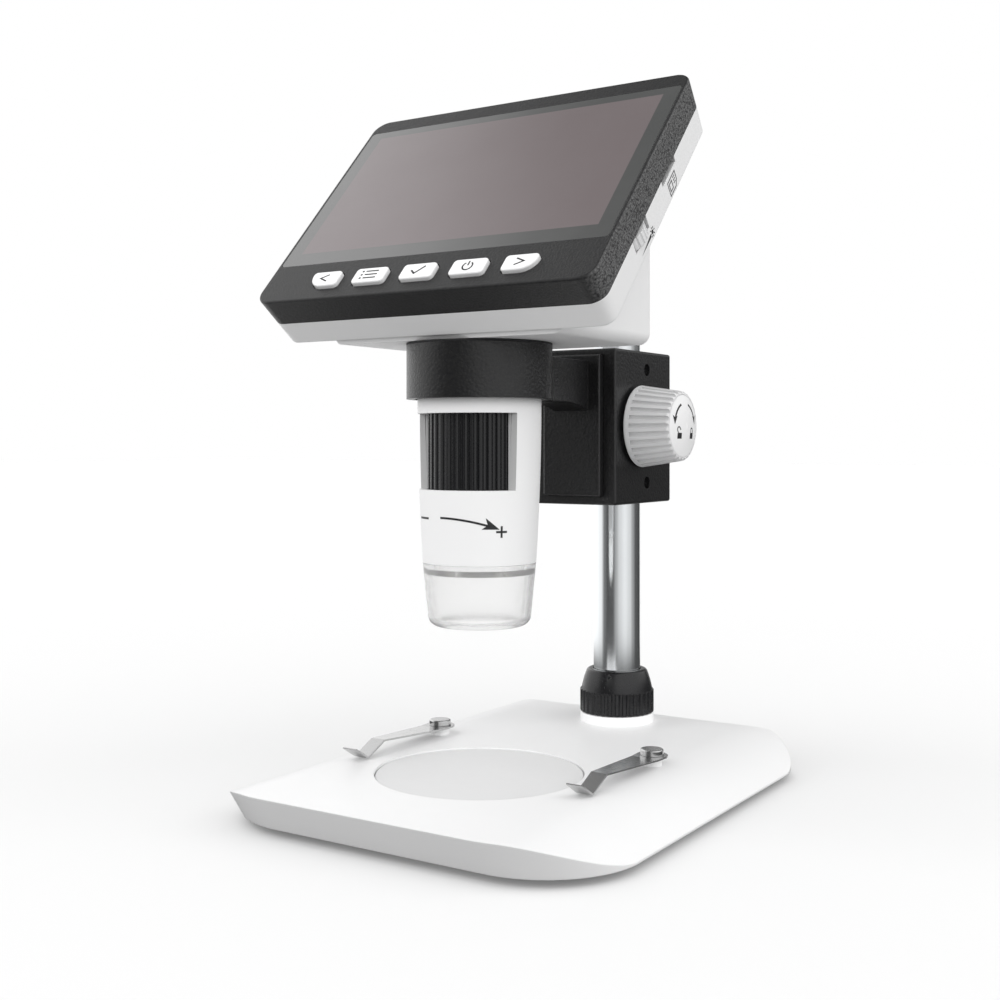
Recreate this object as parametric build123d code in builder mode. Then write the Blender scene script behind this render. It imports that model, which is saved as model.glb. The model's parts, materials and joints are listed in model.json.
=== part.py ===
"""Digital microscope: a tilted display head whose barrel hangs in a bracket that slides on a pole stand.

Millimetres, +Z up, front towards -Y, lock knob on +X.
The origin is on the table under the middle of the base.
"""

import os
from math import asin, atan2, cos, degrees, hypot, radians, sin, sqrt

from build123d import *

os.makedirs("parts", exist_ok=True)

# Clearances
FIT = 0.05  # radial clearance of a fit, a hinge or a shaft
GAP = 0.3  # clearance between pieces that pass each other

# Base
FOOT_PROUD = 2.4
FOOT_R = 5.0
BASE_WIDTH = 118.8
BASE_LENGTH = 154.8
BASE_HEIGHT = 9.6
BASE_WALL = 2.4
SHOULDER_RUN = 21.8  # how far in from each side the deck starts to fall
SIDE_LIP = 0.6
FRONT_RAKE = 6.6  # how far the foot of the front face is set back
FRONT_CORNER_R = 27.0
BACK_CORNER_R = 24.0
BACK_SHOULDER_R = 6.0
CORNER_BITE = 0.05  # the corner rounds meet the sides at a slight angle
BOTTOM_PLATE = 1.6
BOTTOM_RECESS = 0.2
FOOT_CHAMFER = 0.3
FOOT_SIDE_INSET = 16.4  # foot centres, from the sides
FOOT_END_INSET = 22.4  # foot centres, from the front and back edges
BASE_SCREW_INSET = 14.0  # from each foot towards the middle
BASE_SCREW_R = 1.5
BASE_SCREW_HEAD_R = 2.8
BASE_SCREW_LENGTH = 5.5
BASE_BOSS_R = 3.6
BALLAST_SIDE_GAP = 2.4  # beside the bosses of the base screws
BALLAST_HEIGHT = 2.6
BALLAST_CORNER_R = 4.0
BALLAST_FRONT_INSET = 17.4  # from the front edge of the base
BALLAST_BACK_AHEAD = 25.7  # ahead of the pole's axis

# Stage
STAGE_R = 28.7
STAGE_THICKNESS = 1.6
STAGE_SUNK = 0.4
STAGE_FLOOR = 1.6
STAGE_CHAMFER = 0.2

# Specimen clips
CLIP_X = 36.6
CLIP_BEHIND = 32.8  # posts behind the optical axis
CLIP_BOSS_R = 2.9
CLIP_BOSS_RISE = 2.3
CLIP_POST_HEAD_R = 3.3
CLIP_POST_HEAD_HEIGHT = 1.7
CLIP_POST_EDGE_R = 0.4
CLIP_POST_R = 1.5
CLIP_STEEL = 0.5
CLIP_HEAD_WIDTH = 9.0
CLIP_TIP_WIDTH = 4.8
CLIP_UPPER_BEND = (31.2, 4.1)  # distance ahead of the post, height above the deck
CLIP_LOWER_BEND = (38.8, 0.6)
CLIP_TIP = (44.2, 3.9)
CLIP_BEND_R = 0.9

# Pole and its foot
POLE_INSET = 19.7  # pole's axis, from the back edge of the base
POLE_R = 7.6
POLE_WALL = 1.2
POLE_RISE = 126.0  # top of the pole above the deck
POLE_CAP = 1.2
COLLAR_R = 12.0
COLLAR_HEIGHT = 3.0
COLLAR_EDGE_R = 0.4
SOCKET_WALL = 1.8
SOCKET_RISE = 10.5
SOCKET_SPIGOT_WALL = 1.4
SOCKET_CHAMFER = 0.8
SOCKET_SPLIT = 1.0
NUT_R = 12.0
NUT_SKIRT = 7.0
NUT_CONE = 6.8
NUT_LIP = 2.0
NUT_STEP = 0.45  # how far the cone starts in from the ribs
NUT_BULGE = 0.2  # how far the cone bellies out
NUT_LIP_EDGE_R = 1.2
NUT_RIBS = 32
NUT_GROOVE_R = 0.75
NUT_GROOVE_DEPTH = 0.5
POLE_PLUG = 15.0
POLE_BOLT_R = 2.5
POLE_BOLT_LENGTH = 12.0
BOLT_HEAD_R = 4.5
BOLT_HEAD_HEIGHT = 2.8
WASHER_R = 11.5
WASHER_THICKNESS = 1.0
POLE_SEAT = 1.2

# Bracket
BLOCK_BOTTOM_RISE = 71.7  # above the deck
BLOCK_HEIGHT = 48.1
BLOCK_HALF = 14.2
BLOCK_AHEAD = 28.0  # front of the block ahead of the pole's axis
BLOCK_BEHIND = 10.8
BLOCK_EDGE_R = 0.8
BLOCK_LIP = 1.2
LINER_WALL = 1.5
LINER_SPLIT = 2.0
DRAG_HOLE_R = 2.0
DRAG_AHEAD = 6.5  # ahead of the pole's axis
DRAG_SPACING = 35.8
DRAG_LENGTH = 4.0
DRAG_SOCKET_R = 1.1
DRAG_SOCKET_DEPTH = 1.8
COTTER_R = 6.4
COTTER_HALF = 8.0
COTTER_TRAVEL = 0.94
KNOB_AHEAD = 12.2  # ahead of the pole's axis
KNOB_RISE = 24.3  # above the bottom of the block
KNOB_STANDOFF = 0.9
KNOB_R = 12.9
KNOB_NOSE_R = 10.7
KNOB_LENGTH = 14.2
KNOB_RIBS = 30
KNOB_RIB_DEPTH = 0.7
KNOB_RIM = 1.8  # plain rim behind the ribs
KNOB_RIM_EDGE_R = 0.5
KNOB_NOSE_EDGE_R = 1.0
KNOB_CAP_R = 9.6
KNOB_CAP_RISE = 1.2
KNOB_CAP_SEAT = 1.4
CLAMP_SCREW_R = 2.4
CLAMP_HEAD_R = 4.6
CLAMP_HEAD = 3.0
CLAMP_COLLAR_R = 8.6

# Holder
PLATE_HALF = 10.0
PLATE_HEIGHT = 43.4
PLATE_BOTTOM_RISE = 2.8  # above the bottom of the block
PLATE_PROUD = 2.5
PLATE_INSET = 2.0
PLATE_EDGE_R = 0.6
ARM_HALF = 6.0
ARM_TOP_DROP = 1.6  # below the top of the ring
ARM_ROOT_DROP = 2.2  # how far the arm deepens towards the plate
ARM_ROOT_RUN = 14.0  # over what length it deepens
OPTIC_REACH = 81.4  # from the pole's axis forward to the optical axis
RING_RISE = 31.1  # above the bottom of the block
RING_HEIGHT = 14.8
RING_R = 20.15
RING_CHAMFER = 0.4
SLEEVE_WALL = 0.8
SLEEVE_FLANGE = 0.5
TENON_HALF = 8.0
TENON_DEPTH = 5.5
TENON_HEIGHT = 30.0
HOLDER_SCREW_X = 5.0
HOLDER_SCREW_R = 1.25
HOLDER_SCREW_HEAD_R = 2.2
HOLDER_SCREW_HEAD = 1.6
HOLDER_SCREW_LENGTH = 14.0

# Barrel
BARREL_R = 17.1
BARREL_FOOT_R = 15.65
BARREL_BULGE = 0.35  # how far the tapered stretch bellies out
BARREL_WALL = 1.6
BARREL_STRAIGHT = 16.2  # below the seat
BARREL_LENGTH = 60.2  # below the seat
BARREL_FLANGE_R = 18.9
BARREL_FLANGE = 2.0
BARREL_SCREW_R = 1.0
BARREL_SCREW_HEAD_R = 1.9
BARREL_SCREW_HEAD = 1.3
BARREL_SCREW_LENGTH = 4.2
EAR_R = 3.0
EAR_OUT = 20.5
WINDOW_AHEAD = 6.0  # flat sides of the front window, ahead of the optical axis
WINDOW_BEHIND = 10.5  # flat sides of the back window, behind the optical axis
WINDOW_TOP = 19.4  # below the seat
WINDOW_HEIGHT = 20.7
LEDGE = 1.5
WHEEL_R = 14.2
WHEEL_OVERLAP = 0.9  # how far the wheel reaches above and below the window
WHEEL_RIBS = 36
WHEEL_RIB_DEPTH = 0.6
WHEEL_RIB_R = 0.85
GUIDE_R = 10.2
GUIDE_WALL = 1.2
GUIDE_BELOW = 5.0  # below the wheel
PIN_R = 1.0
PIN_REACH = 1.4
CARRIAGE_LENGTH = 12.0
CARRIAGE_TRAVEL = 7.0
LENS_R = 6.0
LENS_EDGE = 1.6
LENS_CROWN = 0.5
LENS_SHOULDER = 1.0
SENSOR_LEDGE_DROP = 3.9  # below the seat
SENSOR_BOARD = 1.2
SENSOR_SIDE = 7.0
SENSOR_HEIGHT = 1.0
FLEX_WIDTH = 8.0
FLEX_THICKNESS = 0.3
FLEX_BEHIND = 5.7  # behind the optical axis
LIGHT_BOARD = 1.2
LIGHT_BOARD_BORE_R = 6.0
LED_COUNT = 8
LED_CIRCLE_R = 9.4
LED_R = 1.4
LED_HEIGHT = 0.9
LED_EDGE_R = 0.4
CUP_HEIGHT = 17.4
CUP_FOOT_R = 14.0
CUP_WALL = 1.5
CUP_MOUTH_R = 10.5
CUP_EDGE_R = 3.0
CUP_SPIGOT = 3.0

# Display head
LEAN = 42.5  # degrees from upright
SCREEN_AHEAD = 1.0  # middle of the screen ahead of the optical axis
SCREEN_RISE = 46.0  # middle of the screen above the seat
BEZEL_WIDTH = 107.1
BEZEL_TOP = 36.1  # above the middle of the screen, along the face
BEZEL_BOTTOM = 47.25
BEZEL_DEPTH = 8.65
BEZEL_CORNER_R = 5.0
BEZEL_EDGE_R = 0.6
BEZEL_WALL = 1.8
BEZEL_DRAFT = 0.65  # how much each side draws in over the bezel's depth
FACE_THICKNESS = 2.2
PANE_WIDTH = 104.5
PANE_HEIGHT = 62.3
PANE_V = -1.05
PANE_THICKNESS = 1.0
PANE_CORNER_R = 1.2
ACTIVE_WIDTH = 95.04
ACTIVE_HEIGHT = 53.86
ACTIVE_BORDER = 0.8
LCD_WIDTH = 102.0
LCD_HEIGHT = 63.0
LCD_V = -2.9
LCD_THICKNESS = 2.85
SHELL_DEPTH = 8.25
SHELL_DRAFT = 0.7
SHELL_WALL = 2.0
SHELL_EDGE_R = 0.8
WEDGE_HALF = 37.1
WEDGE_BEHIND = 32.7  # back of the wedge behind the optical axis
WEDGE_BACK_RISE = 30.0
WEDGE_TOP_V = 22.5
WEDGE_EDGE_R = 3.5
WEDGE_RIDGE_R = 8.0
WEDGE_WALL = 2.4
WEDGE_FLOOR = 3.0
WEDGE_FOOT_V = -44.8
WEDGE_TOE = 0.8
WEDGE_SIDE_R = 3.0
BUTTON_PITCH = 15.7
BUTTON_V = -40.2
BUTTON_WIDTH = 10.5
BUTTON_HEIGHT = 5.7
BUTTON_OUTER_TRIM = 0.8  # the outer two are this much shorter
BUTTON_CORNER_R = 1.2
BUTTON_SWEPT_R = 4.4
BUTTON_EDGE_R = 0.5
BUTTON_PROUD = 1.15
BUTTON_TRAVEL = 0.6
BUTTON_FLANGE = 0.6
BUTTON_FLANGE_THICKNESS = 0.8
BUTTON_STEM = 3.0
BUTTON_STEM_LENGTH = 1.1
SWITCH_SIDE = 4.5
SWITCH_HEIGHT = 2.0
SWITCH_TIP = 0.6
SWITCH_LASH = 0.2
BUTTON_BOARD = 1.2
BUTTON_BOARD_WIDTH = 76.9
BUTTON_BOARD_HEIGHT = 9.0
BUTTON_POST_R = 1.6
BUTTON_PEG = 0.4  # pegs beyond the board
CASE_SCREW_U = 46.0
CASE_SCREW_TOP_V = 31.4
CASE_SCREW_BOTTOM_V = -41.5
CASE_POST_R = 2.4
CASE_SCREW_R = 0.9
CASE_SCREW_HEAD_R = 1.7
CASE_SCREW_HEAD = 1.2
CASE_SCREW_LENGTH = 11.0
MAIN_BOARD = 1.6
MAIN_BOARD_STANDOFF = 2.35
MAIN_BOARD_LEFT = -46.0
MAIN_BOARD_RIGHT = 49.5
MAIN_BOARD_TOP_V = 27.0
MAIN_BOARD_BOTTOM_V = -28.0
BOARD_SCREW_U = 42.0
BOARD_SCREW_TOP_V = 23.5
BOARD_SCREW_LOW_V = -24.0
BOARD_SCREW_RIGHT_V = -6.5
BOARD_SCREW_R = 0.9
BOARD_SCREW_HEAD_R = 1.7
BOARD_SCREW_HEAD = 1.0
BOARD_SCREW_LENGTH = 3.8
SLOT_V = 5.0
SLOT_LENGTH = 11.0
SLOT_DEPTH = 1.65
CARD_SOCKET = (14.0, 15.0, 1.9)
CARD_BACK_WALL = 1.5
CARD_FLOOR = 0.5
CARD_SPACE = 0.9
PORT_SIZE = (5.7, 8.0, 2.8)
PORT_WALL = 0.4
PORT_BACK_WALL = 1.0
PORT_TONGUE = 0.6
PORT_TONGUE_BACK = 0.5
PORT_OUT = 51.2  # mouth of the port from the middle
PORT_V = 0.0
PORT_FRONT = 9.2
DIMMER_R = 6.5
DIMMER_THICKNESS = 3.2
DIMMER_V = -19.2
DIMMER_PROUD = 1.1
DIMMER_SHAFT_R = 1.5
DIMMER_POT_R = 4.5
DIMMER_SHIFT = 1.0
DIMMER_SLOT = 10.5
DIMMER_RIBS = 24
DIMMER_RIB_R = 0.5
DIMMER_RIB_DEPTH = 0.25
DIMMER_POT_CORNER_R = 0.8
DIMMER_WALL_BITE = 0.15  # side draft at the wheel's level
BATTERY_R = 9.15
BATTERY_LENGTH = 65.0
BATTERY_EDGE_R = 0.6
BATTERY_RISE = 19.8  # axis above the seat
BATTERY_BEHIND = 19.2  # axis behind the optical axis
CRADLE_X = 28.0
CRADLE_THICKNESS = 2.0
CRADLE_RISE = 17.0

# Cross recess of the screws, as shares of the head
CROSS_SPAN = 1.2
CROSS_WIDTH = 0.28
CROSS_DEPTH = 0.8
SCREW_DOME = 0.4

# Levels and places that follow
DECK = FOOT_PROUD + BASE_HEIGHT
POLE_Y = BASE_LENGTH / 2 - POLE_INSET
BLOCK_BOTTOM = DECK + BLOCK_BOTTOM_RISE
BLOCK_TOP = BLOCK_BOTTOM + BLOCK_HEIGHT
BLOCK_FRONT_Y = POLE_Y - BLOCK_AHEAD
BLOCK_BACK_Y = POLE_Y + BLOCK_BEHIND
KNOB_Y = POLE_Y - KNOB_AHEAD
KNOB_Z = BLOCK_BOTTOM + KNOB_RISE
OPTIC_Y = POLE_Y - OPTIC_REACH
CLIP_Y = OPTIC_Y + CLIP_BEHIND
RING_BOTTOM = BLOCK_BOTTOM + RING_RISE
RING_TOP = RING_BOTTOM + RING_HEIGHT
SEAT = RING_TOP + SLEEVE_FLANGE + 2 * FIT  # the underside of the head
LINER_R = POLE_R + FIT + LINER_WALL
SLEEVE_R = BARREL_R + FIT + SLEEVE_WALL
CLIP_REST = DECK + CLIP_BOSS_RISE + FIT  # underside of a clip at its post

LEAN_SIN = sin(radians(LEAN))
LEAN_COS = cos(radians(LEAN))
FACE_Y = OPTIC_Y - SCREEN_AHEAD
FACE_Z = SEAT + SCREEN_RISE
FACE = Plane(origin=(0, FACE_Y, FACE_Z), x_dir=(1, 0, 0), z_dir=(0, -LEAN_COS, LEAN_SIN))
BEZEL_HEIGHT = BEZEL_TOP + BEZEL_BOTTOM
BEZEL_V = (BEZEL_TOP - BEZEL_BOTTOM) / 2
SEAM_WIDTH = BEZEL_WIDTH - 2 * BEZEL_DRAFT
SEAM_HEIGHT = BEZEL_HEIGHT - 2 * BEZEL_DRAFT
HEAD_DEPTH = BEZEL_DEPTH + SHELL_DEPTH
CAVITY_HALF = SEAM_WIDTH / 2 - SHELL_DRAFT - SHELL_WALL
MAIN_BOARD_BACK = HEAD_DEPTH - SHELL_WALL - MAIN_BOARD_STANDOFF  # depth below the face
MAIN_BOARD_FRONT = MAIN_BOARD_BACK - MAIN_BOARD
BUTTON_U = [BUTTON_PITCH * step for step in (-2, -1, 0, 1, 2)]
BUTTON_NAMES = ["button_previous", "button_menu", "button_select", "button_power", "button_next"]

UP = (Align.CENTER, Align.CENTER, Align.MIN)
DOWN = (Align.CENTER, Align.CENTER, Align.MAX)


def below_face(depth):
    """The plane that lies a given depth behind the screen face, seen from the front."""
    return FACE.offset(-depth)


def behind_face(depth):
    """The same plane seen from behind, so that its normal points backwards and its x runs to -X."""
    return Plane(origin=below_face(depth).origin, x_dir=(-1, 0, 0), z_dir=-FACE.z_dir)


def side_point(v, depth):
    """Y and Z of a point on the head's middle plane: v up the face, depth behind it."""
    return (FACE_Y + v * LEAN_SIN + depth * LEAN_COS, FACE_Z + v * LEAN_COS - depth * LEAN_SIN)


def screw(head_r, head_height, shank_r, length):
    """A cross-recessed screw that points down, with the underside of its head at the origin."""
    with BuildPart() as body:
        Cylinder(head_r, head_height, align=UP)
        fillet(body.edges().sort_by(Axis.Z)[-1], head_height * SCREW_DOME)
        Cylinder(shank_r, length, align=DOWN)
        with Locations((0, 0, head_height)):
            cross = (head_r * CROSS_SPAN, head_r * CROSS_WIDTH, head_height * CROSS_DEPTH)
            Box(cross[0], cross[1], cross[2], mode=Mode.SUBTRACT)
            Box(cross[1], cross[0], cross[2], mode=Mode.SUBTRACT)
    return body.part


# ---------------------------------------------------------------- base


shoulder_drop = BASE_HEIGHT - SIDE_LIP
shoulder_r = (SHOULDER_RUN**2 + shoulder_drop**2) / (2 * shoulder_drop)


def half_width(level, inset):
    """Half the width of the base across its rounded shoulders at a level, drawn in by inset."""
    rise = level - (DECK - shoulder_r)
    return BASE_WIDTH / 2 - SHOULDER_RUN + sqrt((shoulder_r - inset) ** 2 - rise**2)


def base_form(inset):
    """The outer form of the base drawn in by inset, open at the level of its lower edge."""
    half = BASE_WIDTH / 2 - inset
    back = BASE_LENGTH / 2 - inset
    top = DECK - inset
    shoulder_sweep = degrees(asin((SHOULDER_RUN - inset) / (shoulder_r - inset)))
    roll_r = BACK_SHOULDER_R - inset
    front_foot = -BASE_LENGTH / 2 + FRONT_RAKE + inset * hypot(BASE_HEIGHT, FRONT_RAKE) / BASE_HEIGHT
    with BuildPart() as form:
        with BuildSketch(Plane.XZ):
            with BuildLine():
                centre = (BASE_WIDTH / 2 - SHOULDER_RUN, DECK - shoulder_r)
                shoulder = CenterArc(centre, shoulder_r - inset, 90, -shoulder_sweep)
                Polyline(shoulder @ 1, (half, 0), (0, 0), (0, top), shoulder @ 0)
            make_face()
            mirror(about=Plane.YZ)
        extrude(amount=BASE_LENGTH, both=True)
        with BuildSketch(Plane.YZ):
            with BuildLine():
                roll = CenterArc((back - roll_r, top - roll_r), roll_r, 0, 90)
                ahead = -BASE_LENGTH
                Polyline(roll @ 1, (ahead, top), (ahead, FOOT_PROUD), (back, FOOT_PROUD), roll @ 0)
            make_face()
        extrude(amount=BASE_WIDTH, both=True, mode=Mode.INTERSECT)
        with BuildSketch(Plane.XY.offset(FOOT_PROUD)) as plan:
            with Locations((0, back)):
                Rectangle(2 * (half + CORNER_BITE), 2 * BASE_LENGTH, align=(Align.CENTER, Align.MAX))
            fillet(plan.vertices().group_by(Axis.Y)[-1], BACK_CORNER_R - inset)
        extrude(amount=BASE_HEIGHT, mode=Mode.INTERSECT)
        with BuildSketch(Plane.XY.offset(FOOT_PROUD)) as raked:
            with Locations((0, front_foot)):
                Rectangle(2 * (half + CORNER_BITE), 2 * BASE_LENGTH, align=(Align.CENTER, Align.MIN))
            fillet(raked.vertices().group_by(Axis.Y)[0], FRONT_CORNER_R - inset)
        rake = Vector(0, -FRONT_RAKE, BASE_HEIGHT)
        extrude(amount=rake.length, dir=rake, mode=Mode.INTERSECT)
    return form.part


plate_top = FOOT_PROUD + BOTTOM_RECESS + BOTTOM_PLATE
plate_bottom = FOOT_PROUD + BOTTOM_RECESS
stage_top = DECK - STAGE_SUNK
pocket_floor = stage_top - STAGE_THICKNESS
socket_r = POLE_R + FIT + SOCKET_WALL
spigot_r = POLE_R + FIT + SOCKET_SPIGOT_WALL
deck_underside = DECK - BASE_WALL
socket_foot = deck_underside - POLE_SEAT
foot_x = BASE_WIDTH / 2 - FOOT_SIDE_INSET
foot_y = BASE_LENGTH / 2 - FOOT_END_INSET
BALLAST_WIDTH = 2 * (foot_x - BASE_BOSS_R - BALLAST_SIDE_GAP)
base_screw_y = foot_y - BASE_SCREW_INSET
feet = [(x, y) for x in (-foot_x, foot_x) for y in (-foot_y, foot_y)]
base_screw_places = [(x, y) for x in (-foot_x, foot_x) for y in (-base_screw_y, base_screw_y)]
clip_places = [(-CLIP_X, CLIP_Y), (CLIP_X, CLIP_Y)]

with BuildPart() as base_shell:
    add(base_form(0))
    add(base_form(BASE_WALL), mode=Mode.SUBTRACT)
    with Locations((0, OPTIC_Y, pocket_floor - STAGE_FLOOR)):
        Cylinder(STAGE_R + BASE_WALL, DECK - pocket_floor + STAGE_FLOOR, align=UP)
    with Locations((0, POLE_Y, socket_foot)):
        Cylinder(COLLAR_R + BASE_WALL, DECK - socket_foot - BASE_WALL / 2, align=UP)
    with Locations(*[(x, y, plate_top + BALLAST_HEIGHT + 2 * GAP) for x, y in clip_places]):
        Cylinder(CLIP_BOSS_R, CLIP_BOSS_RISE + DECK - plate_top - BALLAST_HEIGHT - 2 * GAP, align=UP)
    with Locations(*[(x, y, plate_top) for x, y in base_screw_places]):
        Cylinder(BASE_BOSS_R, deck_underside - plate_top, align=UP)
    with Locations((0, OPTIC_Y, pocket_floor)):
        Cylinder(STAGE_R + GAP, DECK - pocket_floor, align=UP, mode=Mode.SUBTRACT)
    with Locations((0, POLE_Y, socket_foot)):
        Cylinder(spigot_r + FIT, DECK - socket_foot, align=UP, mode=Mode.SUBTRACT)
    with Locations(*[(x, y, plate_top) for x, y in clip_places]):
        Cylinder(CLIP_POST_R + FIT, DECK + CLIP_BOSS_RISE - plate_top, align=UP, mode=Mode.SUBTRACT)
    with Locations(*[(x, y, plate_top) for x, y in base_screw_places]):
        Cylinder(BASE_SCREW_R + FIT, BASE_SCREW_LENGTH, align=UP, mode=Mode.SUBTRACT)
base_shell.part.label = "base_shell"
export_step(base_shell.part, "parts/base_shell.step")

with BuildPart() as base_bottom:
    rim = BASE_WALL + GAP
    with BuildSketch(Plane.XY.offset(plate_bottom)) as outline:
        front = -BASE_LENGTH / 2 + FRONT_RAKE + rim * hypot(BASE_HEIGHT, FRONT_RAKE) / BASE_HEIGHT
        with Locations((0, front)):
            plate_half = half_width(plate_top, BASE_WALL) - GAP
            Rectangle(2 * plate_half, BASE_LENGTH / 2 - rim - front, align=(Align.CENTER, Align.MIN))
        fillet(outline.vertices().group_by(Axis.Y)[0], FRONT_CORNER_R - rim)
        fillet(outline.vertices().group_by(Axis.Y)[-1], BACK_CORNER_R - rim)
    extrude(amount=BOTTOM_PLATE)
    with Locations(*[(x, y, plate_bottom) for x, y in base_screw_places]):
        Cone(BASE_SCREW_HEAD_R + FIT, BASE_SCREW_R + FIT, BOTTOM_PLATE, align=UP, mode=Mode.SUBTRACT)
base_bottom.part.label = "base_bottom"
export_step(base_bottom.part, "parts/base_bottom.step")

with BuildPart() as base_screws:
    with Locations(*[(x, y, plate_bottom) for x, y in base_screw_places]):
        Cone(BASE_SCREW_HEAD_R, BASE_SCREW_R, BOTTOM_PLATE, align=UP)
        Cylinder(BASE_SCREW_R, BASE_SCREW_LENGTH, align=UP)
        recess = (BASE_SCREW_HEAD_R * CROSS_SPAN, BASE_SCREW_HEAD_R * CROSS_WIDTH, BOTTOM_PLATE * CROSS_DEPTH)
        Box(recess[0], recess[1], recess[2], mode=Mode.SUBTRACT)
        Box(recess[1], recess[0], recess[2], mode=Mode.SUBTRACT)
base_screws.part.label = "base_screws"
export_step(base_screws.part, "parts/base_screws.step")

with BuildPart() as rubber_feet:
    with Locations(*[(x, y, 0) for x, y in feet]):
        Cylinder(FOOT_R, plate_bottom, align=UP)
    chamfer(rubber_feet.edges().group_by(Axis.Z)[0], FOOT_CHAMFER)
rubber_feet.part.label = "rubber_feet"
export_step(rubber_feet.part, "parts/rubber_feet.step")

with BuildPart() as ballast_plate:
    ballast_front = -BASE_LENGTH / 2 + BALLAST_FRONT_INSET
    ballast_back = POLE_Y - BALLAST_BACK_AHEAD
    with BuildSketch(Plane.XY.offset(plate_top)):
        with Locations((0, (ballast_front + ballast_back) / 2)):
            RectangleRounded(BALLAST_WIDTH, ballast_back - ballast_front, BALLAST_CORNER_R)
    extrude(amount=BALLAST_HEIGHT)
ballast_plate.part.label = "ballast_plate"
export_step(ballast_plate.part, "parts/ballast_plate.step")

with BuildPart() as stage_disc:
    with Locations((0, OPTIC_Y, pocket_floor)):
        Cylinder(STAGE_R, STAGE_THICKNESS, align=UP)
    chamfer(stage_disc.edges().group_by(Axis.Z)[-1], STAGE_CHAMFER)
stage_disc.part.label = "stage_disc"
export_step(stage_disc.part, "parts/stage_disc.step")

# ---------------------------------------------------------------- specimen clips


def clip(x):
    """A bent spring strip that runs forward from its post."""
    mid = CLIP_REST + CLIP_STEEL / 2
    back = CLIP_HEAD_WIDTH / 2
    bends = [(CLIP_Y - ahead, DECK + rise) for ahead, rise in (CLIP_UPPER_BEND, CLIP_LOWER_BEND, CLIP_TIP)]
    with BuildPart() as strip:
        with BuildSketch(Plane.YZ.offset(x)):
            with BuildLine():
                FilletPolyline((CLIP_Y + back, mid), (CLIP_Y - back, mid), *bends, radius=CLIP_BEND_R)
                offset(amount=CLIP_STEEL / 2)
            make_face()
        extrude(amount=CLIP_HEAD_WIDTH, both=True)
        with BuildSketch(Plane.XY.offset(DECK)):
            with Locations((x, CLIP_Y)):
                Circle(CLIP_HEAD_WIDTH / 2)
                Polygon(
                    (-CLIP_HEAD_WIDTH / 2, 0),
                    (CLIP_HEAD_WIDTH / 2, 0),
                    (CLIP_TIP_WIDTH / 2, -CLIP_UPPER_BEND[0]),
                    (CLIP_TIP_WIDTH / 2, -CLIP_TIP[0] - CLIP_STEEL),
                    (-CLIP_TIP_WIDTH / 2, -CLIP_TIP[0] - CLIP_STEEL),
                    (-CLIP_TIP_WIDTH / 2, -CLIP_UPPER_BEND[0]),
                    align=None,
                )
                Circle(CLIP_POST_R + FIT, mode=Mode.SUBTRACT)
        extrude(amount=2 * CLIP_UPPER_BEND[1], mode=Mode.INTERSECT)
    return strip.part


for clip_name, clip_x in (("clip_left", -CLIP_X), ("clip_right", CLIP_X)):
    with BuildPart() as specimen_clip:
        add(clip(clip_x))
    specimen_clip.part.label = clip_name
    export_step(specimen_clip.part, f"parts/{clip_name}.step")

with BuildPart() as clip_posts:
    head_z = CLIP_REST + CLIP_STEEL + FIT
    shank_foot = plate_top + BALLAST_HEIGHT + 2 * GAP
    with Locations(*[(x, y, head_z) for x, y in clip_places]):
        Cylinder(CLIP_POST_HEAD_R, CLIP_POST_HEAD_HEIGHT, align=UP)
    fillet(clip_posts.edges().group_by(Axis.Z)[-1], CLIP_POST_EDGE_R)
    with Locations(*[(x, y, shank_foot) for x, y in clip_places]):
        Cylinder(CLIP_POST_R, head_z - shank_foot, align=UP)
clip_posts.part.label = "clip_posts"
export_step(clip_posts.part, "parts/clip_posts.step")

# ---------------------------------------------------------------- pole and its foot

collar_top = DECK + COLLAR_HEIGHT
pole_foot = socket_foot + FIT
pole_top = DECK + POLE_RISE
washer_top = socket_foot
bolt_head_top = washer_top - WASHER_THICKNESS

with BuildPart() as pole_socket:
    with Locations((0, POLE_Y, socket_foot)):
        Cylinder(spigot_r, DECK - socket_foot, align=UP)
    with Locations((0, POLE_Y, DECK)):
        Cylinder(COLLAR_R, COLLAR_HEIGHT, align=UP)
    fillet(pole_socket.edges().group_by(Axis.Z)[-1], COLLAR_EDGE_R)
    with Locations((0, POLE_Y, collar_top)):
        Cylinder(socket_r, SOCKET_RISE, align=UP)
    chamfer(pole_socket.edges().group_by(Axis.Z)[-1], SOCKET_CHAMFER)
    with Locations((0, POLE_Y, socket_foot)):
        Cylinder(POLE_R + FIT, DECK + COLLAR_HEIGHT + SOCKET_RISE, align=UP, mode=Mode.SUBTRACT)
    with Locations((0, POLE_Y, collar_top + COLLAR_HEIGHT)):
        Box(2 * COLLAR_R, SOCKET_SPLIT, SOCKET_RISE, align=UP, mode=Mode.SUBTRACT)
        Box(SOCKET_SPLIT, 2 * COLLAR_R, SOCKET_RISE, align=UP, mode=Mode.SUBTRACT)
pole_socket.part.label = "pole_socket"
export_step(pole_socket.part, "parts/pole_socket.step")

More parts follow.
